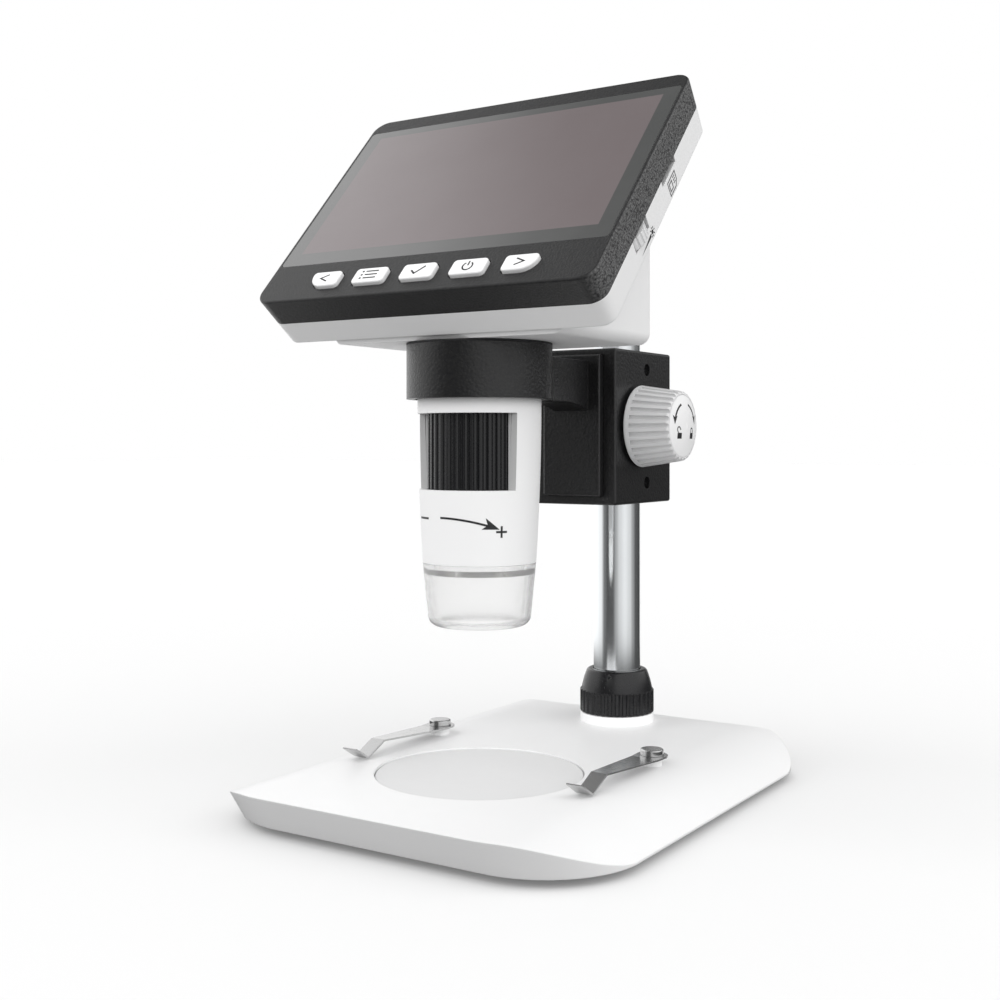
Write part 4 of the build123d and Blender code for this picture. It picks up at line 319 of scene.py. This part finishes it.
def metal(name, colour, roughness, lines=(1, 1, 1), lines_per_mm=6.0, line_height_mm=0.002):
    """Metal with drawn or brushed lines; lines is small in the direction that they run."""
    material, tree = new_material(name)
    place = object_place(tree)
    brushing = noise(tree, place, lines_per_mm / MM, detail=3.0, roughness=0.7, stretch=lines)
    patches = noise(tree, place, per_metre=90.0, detail=3.0)
    dark = tuple(c * PATCH_SHADE for c in colour)
    dress(
        tree,
        blend_colours(tree, patches, dark, colour),
        remap(tree, brushing, *NOISE_SPAN, roughness * 0.8, roughness * 1.25),
        bump(tree, brushing, line_height_mm * MM, rounded_edges(tree, 0.12 * MM), strength=0.6),
        Metallic=1.0,
    )
    return material


def clear_plastic(name, colour, roughness, ior, milkiness=0.0):
    """Clear moulded plastic with the faintest waviness."""
    material, tree = new_material(name)
    waves = noise(tree, object_place(tree), per_metre=150.0, detail=1.0)
    dress(
        tree,
        normal=bump(tree, waves, 0.02 * MM, strength=0.5),
        Base_Color=(*colour, 1),
        Roughness=roughness,
        IOR=ior,
        Transmission_Weight=1.0 - milkiness,
    )
    return material


def display_glass():
    """The screen's cover glass: a printed grey border and a panel, with painted shade darkening the border
    and painted light lightening the panel to the right.
    """
    material, tree = new_material("display_glass")
    place = object_place(tree)
    across = along(tree, place, (1, 0, 0))
    rise = math_node(tree, "SUBTRACT", along(tree, place, FACE_UP), ACTIVE_V)
    inside = math_node(
        tree,
        "MULTIPLY",
        within(tree, across, ACTIVE_WIDTH / 2, ACTIVE_EDGE),
        within(tree, rise, ACTIVE_HEIGHT / 2, ACTIVE_EDGE),
    )
    slant = math_node(tree, "ADD", across, math_node(tree, "MULTIPLY", rise, SHADE_LEAN))
    painted_shading_across = remap(tree, slant, -ACTIVE_WIDTH / 2, ACTIVE_WIDTH / 2, smooth=True)
    # painted light and shade across the screen: the panel lightens and the border darkens to the right
    panel = blend_colours(tree, painted_shading_across, (0.128, 0.102, 0.106), (0.146, 0.121, 0.124))
    border = blend_colours(tree, painted_shading_across, (0.090, 0.090, 0.090), (0.062, 0.064, 0.063))
    haze = remap(tree, noise(tree, place, per_metre=40.0, detail=3.0), 0.35, 0.75, 0.0, 0.05)
    colour = blend_colours(tree, haze, blend_colours(tree, inside, border, panel), (0.30, 0.28, 0.28))
    smear = noise(tree, place, per_metre=70.0, detail=5.0, roughness=0.7)
    dress(
        tree,
        colour,
        remap(tree, smear, *NOISE_SPAN, 0.16, 0.24),
        IOR=1.5,
        Coat_Weight=0.6,
        Coat_Roughness=0.05,
    )
    return material


def circuit_board(name, mask, copper):
    """Solder mask with the copper pours that show through it."""
    material, tree = new_material(name)
    place = object_place(tree)
    cells = node(tree, "ShaderNodeTexVoronoi", {"distance": "CHEBYCHEV"}, Vector=place, Scale=260.0)
    tracks = remap(tree, cells.outputs["Distance"], 0.18, 0.22)
    relief = bump(tree, tracks, 0.03 * MM)
    dress(tree, blend_colours(tree, tracks, mask, copper), normal=relief, Roughness=0.3)
    return material


def speckled(name, low, high, lumps_per_mm, **values):
    """A finish with a fine uneven speckle, such as ink or an LED's phosphor."""
    material, tree = new_material(name)
    speckle = noise(tree, object_place(tree), lumps_per_mm / MM, detail=3.0)
    dress(tree, blend_colours(tree, speckle, low, high), **values)
    return material


WHITE = moulded_plastic("white_casing", (0.89, 0.89, 0.892), 0.40, crease_mm=3.0)
BARREL_WHITE = moulded_plastic("white_barrel", (0.89, 0.89, 0.892), 0.40, crease_mm=3.0, window_round=OPTIC)
BASE_WHITE = moulded_plastic("white_base", (0.87, 0.87, 0.872), 0.36, edge_mm=0.5, Specular_IOR_Level=0.2)
BRIGHT_WHITE = moulded_plastic("bright_plastic", (0.93, 0.93, 0.932), 0.35)
KNOB_WHITE = moulded_plastic("knob_plastic", (0.78, 0.78, 0.785), 0.42, grain_height_mm=0.005, crease_mm=1.2)
STAGE = moulded_plastic("stage_plastic", (0.74, 0.74, 0.742), 0.5, grain_height_mm=0.006, mottling=0.015)
BUTTON = moulded_plastic("button_plastic", (0.88, 0.88, 0.882), 0.25, grain_height_mm=0.001, edge_mm=0.2)
# painted light: side_painted_light lightens the bezel's right and left sides
BEZEL = leather_grain_plastic(
    "bezel_plastic", (0.012, 0.012, 0.013), 0.42, cell_mm=0.55, height_mm=0.40, elsewhere=0.14, side_painted_light=13.0
)
BLACK = leather_grain_plastic("black_plastic", (0.008, 0.008, 0.009), 0.32, cell_mm=0.70, height_mm=0.08)
BLACK_SMOOTH = moulded_plastic("black_smooth", (0.007, 0.007, 0.008), 0.26, mottling=0.05)
GREY = moulded_plastic("grey_plastic", (0.30, 0.30, 0.31), 0.5, grain_height_mm=0.01, mottling=0.03)
RUBBER = moulded_plastic("rubber", (0.02, 0.02, 0.021), 0.75, grain_height_mm=0.02, mottling=0.12)
CHIP = moulded_plastic("component_black", (0.025, 0.025, 0.028), 0.5, grain_height_mm=0.006, mottling=0.05)
BATTERY = moulded_plastic("battery_wrap", (0.05, 0.17, 0.45), 0.25, grain_height_mm=0.002, mottling=0.03)
FILM = moulded_plastic("flex_film", (0.50, 0.24, 0.05), 0.3, grain_height_mm=0.002, mottling=0.04)
POLE_METAL = metal(
    "pole_metal", (0.88, 0.905, 0.92), 0.13, lines=(1, 1, 0.004), lines_per_mm=4.0, line_height_mm=0.001
)
SPRING_STEEL = metal("spring_steel", (0.58, 0.58, 0.58), 0.22, lines=(1, 0.03, 1), lines_per_mm=5.0)
SCREW_STEEL = metal("screw_steel", (0.52, 0.52, 0.53), 0.35)
SOCKET_STEEL = metal("socket_steel", (0.70, 0.70, 0.71), 0.28)
IRON = metal("ballast_iron", (0.16, 0.16, 0.16), 0.6, line_height_mm=0.02)
CUP = clear_plastic("clear_cup", (1.0, 1.0, 1.0), 0.26, 1.33, milkiness=0.10)
LENS = clear_plastic("lens_glass", (0.93, 0.97, 0.98), 0.0, 1.52)
GLASS = display_glass()
BOARD = circuit_board("circuit_board", (0.012, 0.10, 0.045), (0.02, 0.17, 0.075))
LIGHT_BOARD = circuit_board("light_board", (0.78, 0.78, 0.77), (0.84, 0.84, 0.83))
LED = speckled("led_lens", (0.86, 0.80, 0.42), (0.93, 0.90, 0.70), 2.5, Roughness=0.25, Coat_Weight=0.6)
INK = speckled("black_ink", (0.012, 0.012, 0.013), (0.022, 0.022, 0.024), 4.0, Roughness=0.5)
GREY_INK = speckled("grey_ink", (0.10, 0.10, 0.105), (0.15, 0.15, 0.155), 4.0, Roughness=0.5)

FINISHES = {
    WHITE: ["rear_shell"],
    BARREL_WHITE: ["barrel_shell"],
    BASE_WHITE: ["base_shell"],
    BRIGHT_WHITE: ["pole_socket", "knob_cap"],
    KNOB_WHITE: ["lock_knob", "brightness_wheel"],
    STAGE: ["stage_disc"],
    BUTTON: ["button_previous", "button_menu", "button_select", "button_power", "button_next"],
    BEZEL: ["bezel"],
    BLACK: ["slider_block", "holder", "pole_cap"],
    BLACK_SMOOTH: ["collet_nut", "focus_wheel", "focus_guide", "lens_carriage"],
    GREY: ["base_bottom", "pole_plug", "pole_liner"],
    RUBBER: ["rubber_feet", "ring_liner"],
    CHIP: ["image_sensor", "switches", "dimmer_pot", "lcd_panel"],
    BATTERY: ["battery"],
    FILM: ["sensor_flex"],
    POLE_METAL: ["pole_tube"],
    SPRING_STEEL: ["clip_left", "clip_right", "clip_posts"],
    SCREW_STEEL: [
        "base_screws", "pole_bolt", "pole_washer", "drag_screws", "draw_cotter", "clamp_screw",
        "holder_screws", "barrel_screws", "shell_screws", "board_screws",
    ],
    SOCKET_STEEL: ["card_socket", "charge_port"],
    IRON: ["ballast_plate"],
    CUP: ["clear_cup"],
    LENS: ["lens_front", "lens_rear"],
    GLASS: ["display_window"],
    BOARD: ["sensor_board", "button_board", "main_board"],
    LIGHT_BOARD: ["led_board"],
    LED: ["leds"],
}
for material, names in FINISHES.items():
    for name in names:
        NODES[name].data.materials.clear()
        NODES[name].data.materials.append(material)


# ---------------------------------------------------------------- printed symbols, drawn in millimetres

FINE_LINE = 0.35
MITRE_LIMIT = 0.35  # keeps the mitre of a sharp corner from growing into a spike
PADLOCK_HALF = 1.2  # half the width of its body
PADLOCK_BOTTOM = -1.5
PADLOCK_TOP = 0.3
SHACKLE_R = 0.8
SHACKLE_RISE = 1.0


def split(a, b, c):
    """A triangle as triangles small enough to follow a curved surface."""
    longest = max((a - b).length, (b - c).length, (c - a).length)
    if longest <= INK_STEP:
        return [(a, b, c)]
    ab, bc, ca = (a + b) / 2, (b + c) / 2, (c + a) / 2
    return split(a, ab, ca) + split(ab, b, bc) + split(ca, bc, c) + split(ab, bc, ca)


def filled(points):
    """Triangles that fill an outline, fanned out from its first point."""
    points = [Vector(p) for p in points]
    made = []
    for k in range(1, len(points) - 1):
        made += split(points[0], points[k], points[k + 1])
    return made


def stroke(points, width, closed=False):
    """Triangles of a line of even width through the points, with mitred corners."""
    points = [Vector(p) for p in points]
    count = len(points)
    rails = []
    for k, point in enumerate(points):
        before = points[k - 1] if k or closed else None
        after = points[(k + 1) % count] if k < count - 1 or closed else None
        into = (point - before).normalized() if before is not None else (after - point).normalized()
        out = (after - point).normalized() if after is not None else into
        middle = (into + out).normalized()
        side = Vector((-middle.y, middle.x))
        reach = width / 2 / max(MITRE_LIMIT, side.dot(Vector((-into.y, into.x))))
        rails.append((point + side * reach, point - side * reach))
    made = []
    for k in range(count if closed else count - 1):
        (a, b), (c, d) = rails[k], rails[(k + 1) % count]
        made += split(a, b, d) + split(a, d, c)
    return made


def arc(centre, radius, start, end, steps=24):
    """Points of an arc, angles in degrees."""
    angles = [math.radians(start + (end - start) * k / steps) for k in range(steps + 1)]
    return [(centre[0] + radius * math.cos(a), centre[1] + radius * math.sin(a)) for a in angles]


def dot(centre, radius, steps):
    """Triangles of a filled circle."""
    return filled(arc(centre, radius, 0, 345, steps))


def arrowhead(tip, way, length, width, notch=0.25):
    """A barbed arrowhead with its tip at a point."""
    tip = Vector(tip)
    way = Vector(way).normalized()
    side = Vector((-way.y, way.x)) * width / 2
    tail = tip - way * length
    return filled([tip, tail + side, tail + way * length * notch, tail - side])


def padlock(centre, open_angle):
    """A small padlock with its shackle closed or swung open about its left foot."""
    x, y = centre
    left, right, bottom, top = x - PADLOCK_HALF, x + PADLOCK_HALF, y + PADLOCK_BOTTOM, y + PADLOCK_TOP
    body = filled([(left, bottom), (right, bottom), (right, top), (left, top)])
    foot = Vector((x - SHACKLE_R, top))
    bow = arc((x, y + SHACKLE_RISE), SHACKLE_R, 180, 0, 10)
    swing = math.radians(open_angle)
    cos, sin = math.cos(swing), math.sin(swing)
    offsets = [Vector(p) - foot for p in ((x - SHACKLE_R, top), *bow, (x + SHACKLE_R, top))]
    turned = [foot + Vector((o.x * cos - o.y * sin, o.x * sin + o.y * cos)) for o in offsets]
    return body + stroke(turned, FINE_LINE)


SURFACES = {}


def surface(name):
    """Search tree of a CAD node's surface."""
    if name not in SURFACES:
        mesh = NODES[name].data
        corners = [vertex.co for vertex in mesh.vertices]
        SURFACES[name] = BVHTree.FromPolygons(corners, [polygon.vertices for polygon in mesh.polygons])
    return SURFACES[name]


def printed(name, triangles, on, body, start, towards, material):
    """Lays triangles on a node's surface as a thin layer of ink that rides on a body.

    start maps (x, y) to a point outside the surface, and towards gives the way from there to it.
    """
    places, vertices, faces = {}, [], []
    for triangle in triangles:
        face = []
        for corner in triangle:
            key = (round(corner.x, 4), round(corner.y, 4))
            if key not in places:
                origin = start(corner.x * MM, corner.y * MM)
                way = towards(origin)
                hit, normal = surface(on).ray_cast(origin, way)[:2]
                if hit is None:
                    raise ValueError(f"{name} misses {on}")
                places[key] = len(vertices)
                outwards = normal if normal.dot(way) < 0 else -normal
                vertices.append(hit + outwards * (INK_LIFT + INK_THICKNESS))
            face.append(places[key])
        if len(set(face)) == 3:
            faces.append(face)
    mesh = bpy.data.meshes.new(name)
    mesh.from_pydata(vertices, [], faces)
    mesh.update()
    way = towards(start(0, 0))
    if sum(polygon.normal.dot(way) for polygon in mesh.polygons) > 0:
        mesh.flip_normals()
    mesh.materials.append(material)
    piece = bpy.data.objects.new(name, mesh)
    bpy.context.scene.collection.objects.link(piece)
    thick = piece.modifiers.new("ink", "SOLIDIFY")
    thick.thickness = INK_THICKNESS
    thick.offset = -1.0
    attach(piece, body)


def on_button(name):
    """Maps places on a button's top, counted from its middle, to points above it."""
    low, high = face_box(name)

    def start(x, y):
        return face_point((low[0] + high[0]) / 2 + x, (low[1] + high[1]) / 2 + y, high[2] + START_AWAY)

    return start


def round_barrel(height):
    """Maps places on the barrel, counted round it from its front and up from a height, to points outside."""
    radius = BARREL_PRINT_R * MM

    def start(x, y):
        reach, turn = radius + START_AWAY, x / radius
        return Vector((OPTIC.x + reach * math.sin(turn), OPTIC.y - reach * math.cos(turn), height + y))

    return start


def on_knob(x, y):
    """Maps places on the knob's end cap, seen from the right, to points in front of it."""
    return Vector((KNOB.x + 2 * START_AWAY, KNOB.y + x, KNOB.z + y))


def on_side(v, depth):
    """Maps places on the head's right side to points beside it.

    They count forward and up, in the screen's own directions, from a place that lies v above the middle of
    the screen and depth behind the front of the glass.
    """

    def start(x, y):
        return face_point(2 * START_AWAY, ACTIVE_V + v + y, GLASS_HIGH[2] - depth + x)

    return start


def into_face(_point):
    """Straight down on to the screen's face."""
    return -FACE_NORMAL


def into_barrel(point):
    """Level, straight to the barrel's axis."""
    return Vector((OPTIC.x - point.x, OPTIC.y - point.y, 0)).normalized()


def from_right(_point):
    """Straight to the left."""
    return Vector((-1, 0, 0))


BUTTON_LINE = 0.42
TICK_LINE = 0.5
LIST_LINES = (1.3, 0.0, -1.3)
BUTTON_SYMBOLS = {
    "button_previous": stroke([(1.15, 1.25), (-1.35, 0), (1.15, -1.25)], BUTTON_LINE),
    "button_next": stroke([(-1.15, 1.25), (1.35, 0), (-1.15, -1.25)], BUTTON_LINE),
    "button_menu": [
        triangle
        for y in LIST_LINES
        for triangle in stroke([(-1.5, y), (2.6, y)], BUTTON_LINE) + dot((-2.5, y), 0.34, 15)
    ],
    "button_select": stroke([(-1.9, 0.1), (-0.5, -1.2), (2.1, 1.4)], TICK_LINE),
    "button_power": stroke(arc((0, -0.1), 1.45, 125, 415, 30), BUTTON_LINE)
    + stroke([(0, 0.1), (0, 1.75)], BUTTON_LINE),
}
for name, symbol in BUTTON_SYMBOLS.items():
    printed(f"symbol_{name}", symbol, name, name, on_button(name), into_face, INK)

# Focus arrow: a dash, a bent arrow to the right and a plus under its tip
BARREL_PRINT_R = 16.3
ARROW_HEIGHT = 82.8 * MM
ARROW_LINE = 0.55
ARROW_FROM = -1.7
ARROW_TO = 12.6
ARROW_BEND = 0.0108  # drop for each squared millimetre of the run
ARROW_TIP = (15.0, -2.95)
ARROW_WAY = (0.94, -0.34)
ARROW_HEAD = (4.6, 3.2)  # length and width
DASH_FROM = (-12.0, -0.3)
DASH_STEP = 0.6
PLUS = (15.6, -3.6)
PLUS_REACH = 1.55
run = [ARROW_FROM + (ARROW_TO - ARROW_FROM) * k / 24 for k in range(25)]
focus_arrow = (
    stroke([(DASH_FROM[0] + DASH_STEP * k, DASH_FROM[1]) for k in range(10)], ARROW_LINE)
    + stroke([(x, -ARROW_BEND * (x - ARROW_FROM) ** 2) for x in run], ARROW_LINE)
    + arrowhead(ARROW_TIP, ARROW_WAY, *ARROW_HEAD)
    + stroke([(PLUS[0] - PLUS_REACH, PLUS[1]), (PLUS[0] + PLUS_REACH, PLUS[1])], ARROW_LINE)
    + stroke([(PLUS[0], PLUS[1] - PLUS_REACH), (PLUS[0], PLUS[1] + PLUS_REACH)], ARROW_LINE)
)
printed("focus_arrow", focus_arrow, "barrel_shell", "head", round_barrel(ARROW_HEIGHT), into_barrel, INK)

# Lock knob: two bent arrows that point down to an open and a closed padlock
LOCK_R = 7.0
LOCK_LINE = 0.65
LOCK_HEAD = (2.8, 2.4)  # length and width of its arrowheads
PADLOCK_OUT = 4.2
PADLOCK_RISE = -2.4
PADLOCK_OPEN = 35  # degrees
knob_marks = (
    stroke(arc((0, 0), LOCK_R, 70, 18), LOCK_LINE)
    + arrowhead(arc((0, 0), LOCK_R, 4, 4)[0], (0.12, -1), *LOCK_HEAD)
    + stroke(arc((0, 0), LOCK_R, 110, 162), LOCK_LINE)
    + arrowhead(arc((0, 0), LOCK_R, 176, 176)[0], (-0.12, -1), *LOCK_HEAD)
    + padlock((-PADLOCK_OUT, PADLOCK_RISE), PADLOCK_OPEN)
    + padlock((PADLOCK_OUT, PADLOCK_RISE), 0)
)
printed("knob_marks", knob_marks, "knob_cap", "lock", on_knob, from_right, INK)

# Right side of the head: a memory card beside its slot, a sun and a narrowing wedge beside the wheel
SUN_LINE = 0.3
RAY_FROM = 0.9
RAY_TO = 1.45
card_outline = [(-2.0, -2.9), (2.0, -2.9), (2.0, 2.9), (-0.7, 2.9), (-2.0, 1.6)]
card_label = [(-1.1, -2.1), (1.1, -2.1), (1.1, -0.2), (-1.1, -0.2)]
card_symbol = stroke(card_outline, FINE_LINE, closed=True) + stroke(card_label, FINE_LINE, closed=True)
for x in (-0.5, 0.35, 1.2):
    card_symbol += stroke([(x, 0.8), (x, 2.1)], FINE_LINE)
sun_symbol = dot((0, 0), 0.6, 23)
for k in range(8):
    ray = Vector((math.cos(math.pi * k / 4), math.sin(math.pi * k / 4)))
    sun_symbol += stroke([ray * RAY_FROM, ray * RAY_TO], SUN_LINE)
ramp_symbol = filled([(-0.2, 3.7), (0.7, 3.7), (-0.1, -3.7)])
# Rise above the middle of the screen and depth behind the glass, in millimetres
for name, symbol, rise, depth, material in (
    ("card_symbol", card_symbol, 5.4, 13.6, GREY_INK),
    ("sun_symbol", sun_symbol, -13.1, 14.6, INK),
    ("ramp_symbol", ramp_symbol, -18.1, 15.0, INK),
):
    printed(name, symbol, "rear_shell", "head", on_side(rise * MM, depth * MM), from_right, material)

# ---------------------------------------------------------------- floor, light and camera

CAMERA_AT = Vector((201.0, -325.8, 102.8)) * MM
CAMERA_YAW = 32.745  # degrees to the left of +Y
LENS_MM = 47.286
SENSOR_MM = 36.0
HORIZON_SHIFT = -0.0571

FILL = 0.67  # even light of the room
CARDS = 1.5  # brightness of the white cards that polished surfaces reflect
# Level of the cards round the object: degrees to the right of the camera's direction, share of CARDS
ROUND_CARDS = [
    (-165, 0.80), (-121, 0.80), (-88, 0.66), (-70, 0.14), (-50, 0.06), (-25, 0.07), (-8, 0.30),
    (8, 0.50), (35, 0.62), (62, 0.50), (80, 0.25), (100, 0.07), (128, 0.05), (150, 0.5),
]
# Level of the cards overhead: leftwards to rightwards share of the direction, share of CARDS
OVERHEAD_CARDS = [(-1.0, 0.9), (-0.64, 0.9), (-0.46, 0.14), (0.15, 0.12), (0.42, 0.8), (1.0, 0.8)]
OVERHEAD_FROM = 0.03  # upward share of a direction where the cards overhead start to take over
OVERHEAD_AT = 0.30  # and where only they are left
FLOOR_SIZE = 6.0  # from its middle to each edge, in metres
FLOOR_SEEN = 0.77  # colour of the floor to the camera
FLOOR_SPECK = 0.005  # how far its mottling goes either side of that
FLOOR_GLOW = 0.12  # what it gives off besides, which brings the open floor close to white
FLOOR_BOUNCE = 0.30  # its colour for the light that it throws up at the object
FLOOR_REFLECTED = 0.05  # share of CARDS that polished surfaces see on it near the pole
CARDS_FROM = 0.15  # the cards' feet start to show this far from the pole, in metres
CARDS_AT = 0.28  # and show in full from here
SUN_SPREAD = 90  # degrees across, for soft shadows
# Way towards each sun, and its light on a white surface that faces it
SUNS = {"front_left": ((-0.35, -0.85, 0.40), 0.55), "right": ((0.90, -0.20, 0.40), 0.56)}


def round_cards(tree, x, y):
    """Level of the cards round the object in the direction (x, y)."""
    turn = math_node(tree, "ARCTAN2", x, math_node(tree, "MULTIPLY", y, -1.0))
    stops = [(((CAMERA_YAW + right + 180) % 360) / 360, level) for right, level in ROUND_CARDS]
    return steps_ramp(tree, remap(tree, turn, -math.pi, math.pi), stops)


def by_ray(tree, seen, reflected, rest):
    """One shader for direct looks, also through clear pieces, one for reflections and one for the rest."""
    path = node(tree, "ShaderNodeLightPath").outputs
    direct = math_node(tree, "MAXIMUM", path["Is Camera Ray"], path["Is Transmission Ray"])
    others = node(tree, "ShaderNodeMixShader", None, i0=path["Is Glossy Ray"], i1=rest, i2=reflected)
    return node(tree, "ShaderNodeMixShader", None, i0=direct, i1=others.outputs[0], i2=seen).outputs[0]


def studio_floor():
    """A white floor that keeps the object's shadow; polished surfaces see the feet of the cards on it."""
    material, tree = new_material("studio_floor")
    tree.nodes.clear()
    speck = noise(tree, object_place(tree), per_metre=3.0)
    low, high = (FLOOR_SEEN - FLOOR_SPECK,) * 3, (FLOOR_SEEN + FLOOR_SPECK,) * 3
    surface_seen = node(tree, "ShaderNodeBsdfDiffuse", None, Color=blend_colours(tree, speck, low, high))
    glow = node(tree, "ShaderNodeEmission", None, Strength=FLOOR_GLOW)
    seen = node(tree, "ShaderNodeAddShader", None, i0=surface_seen.outputs[0], i1=glow.outputs[0])
    bounce = node(tree, "ShaderNodeBsdfDiffuse", None, Color=(FLOOR_BOUNCE, FLOOR_BOUNCE, FLOOR_BOUNCE, 1))
    offset = vector_node(tree, "SUBTRACT", object_place(tree), (POLE.x, POLE.y, 0))["Vector"]
    parts = node(tree, "ShaderNodeSeparateXYZ", None, Vector=offset).outputs
    reach = vector_node(tree, "LENGTH", offset)["Value"]
    away = remap(tree, reach, CARDS_FROM, CARDS_AT, smooth=True)
    cards = blend_colours(tree, away, (FLOOR_REFLECTED,) * 3, round_cards(tree, parts["X"], parts["Y"]))
    reflected = node(tree, "ShaderNodeEmission", None, Color=cards, Strength=CARDS)
    mixed = by_ray(tree, seen.outputs[0], reflected.outputs[0], bounce.outputs[0])
    node(tree, "ShaderNodeOutputMaterial", None, Surface=mixed)
    material.cycles.emission_sampling = "NONE"
    return material


def add_floor():
    """The floor plane under the feet."""
    mesh = bpy.data.meshes.new("floor")
    corners = [(-FLOOR_SIZE, -FLOOR_SIZE, 0), (FLOOR_SIZE, -FLOOR_SIZE, 0)]
    corners += [(FLOOR_SIZE, FLOOR_SIZE, 0), (-FLOOR_SIZE, FLOOR_SIZE, 0)]
    mesh.from_pydata(corners, [], [(0, 1, 2, 3)])
    floor = bpy.data.objects.new("floor", mesh)
    bpy.context.scene.collection.objects.link(floor)
    mesh.materials.append(studio_floor())


def studio_world():
    """White to the camera, white and dark cards to polished surfaces, and an even fill for the rest."""
    world = bpy.data.worlds.new("studio")
    bpy.context.scene.world = world
    world.use_nodes = True
    world.cycles.sampling_method = "NONE"
    tree = world.node_tree
    tree.nodes.clear()
    way = node(tree, "ShaderNodeTexCoord").outputs["Generated"]
    parts = node(tree, "ShaderNodeSeparateXYZ", None, Vector=way).outputs
    stops = [((side + 1) / 2, level) for side, level in OVERHEAD_CARDS]
    overhead = steps_ramp(tree, remap(tree, parts["X"], -1.0, 1.0), stops)
    upward = remap(tree, parts["Z"], OVERHEAD_FROM, OVERHEAD_AT, smooth=True)
    cards = blend_colours(tree, upward, round_cards(tree, parts["X"], parts["Y"]), overhead)
    reflected = node(tree, "ShaderNodeBackground", None, Color=cards, Strength=CARDS)
    white = node(tree, "ShaderNodeBackground", None, Color=(1, 1, 1, 1), Strength=1.0)
    fill = node(tree, "ShaderNodeBackground", None, Color=(1, 1, 1, 1), Strength=FILL)
    mixed = by_ray(tree, white.outputs[0], reflected.outputs[0], fill.outputs[0])
    node(tree, "ShaderNodeOutputWorld", None, Surface=mixed)


def add_sun(name, towards_light, light_on_white):
    """A broad, even light from one side; polished surfaces see the cards instead of it."""
    data = bpy.data.lights.new(name, "SUN")
    data.energy = light_on_white * math.pi
    data.angle = math.radians(SUN_SPREAD)
    lamp = bpy.data.objects.new(name, data)
    bpy.context.scene.collection.objects.link(lamp)
    lamp.rotation_euler = Vector(towards_light).to_track_quat("Z", "Y").to_euler()
    lamp.visible_glossy = False


def add_camera():
    """A level camera to the right of the front, with the horizon above the middle of the frame."""
    data = bpy.data.cameras.new("camera")
    data.lens = LENS_MM
    data.sensor_width = SENSOR_MM
    data.sensor_fit = "HORIZONTAL"
    data.shift_y = HORIZON_SHIFT
    data.clip_start = 0.01
    camera = bpy.data.objects.new("camera", data)
    bpy.context.scene.collection.objects.link(camera)
    camera.location = CAMERA_AT
    camera.rotation_euler = (math.radians(90), 0, math.radians(CAMERA_YAW))
    bpy.context.scene.camera = camera


add_floor()
studio_world()
for name, (towards_light, light_on_white) in SUNS.items():
    add_sun(name, towards_light, light_on_white)
add_camera()
bpy.context.scene.view_settings.view_transform = "Standard"
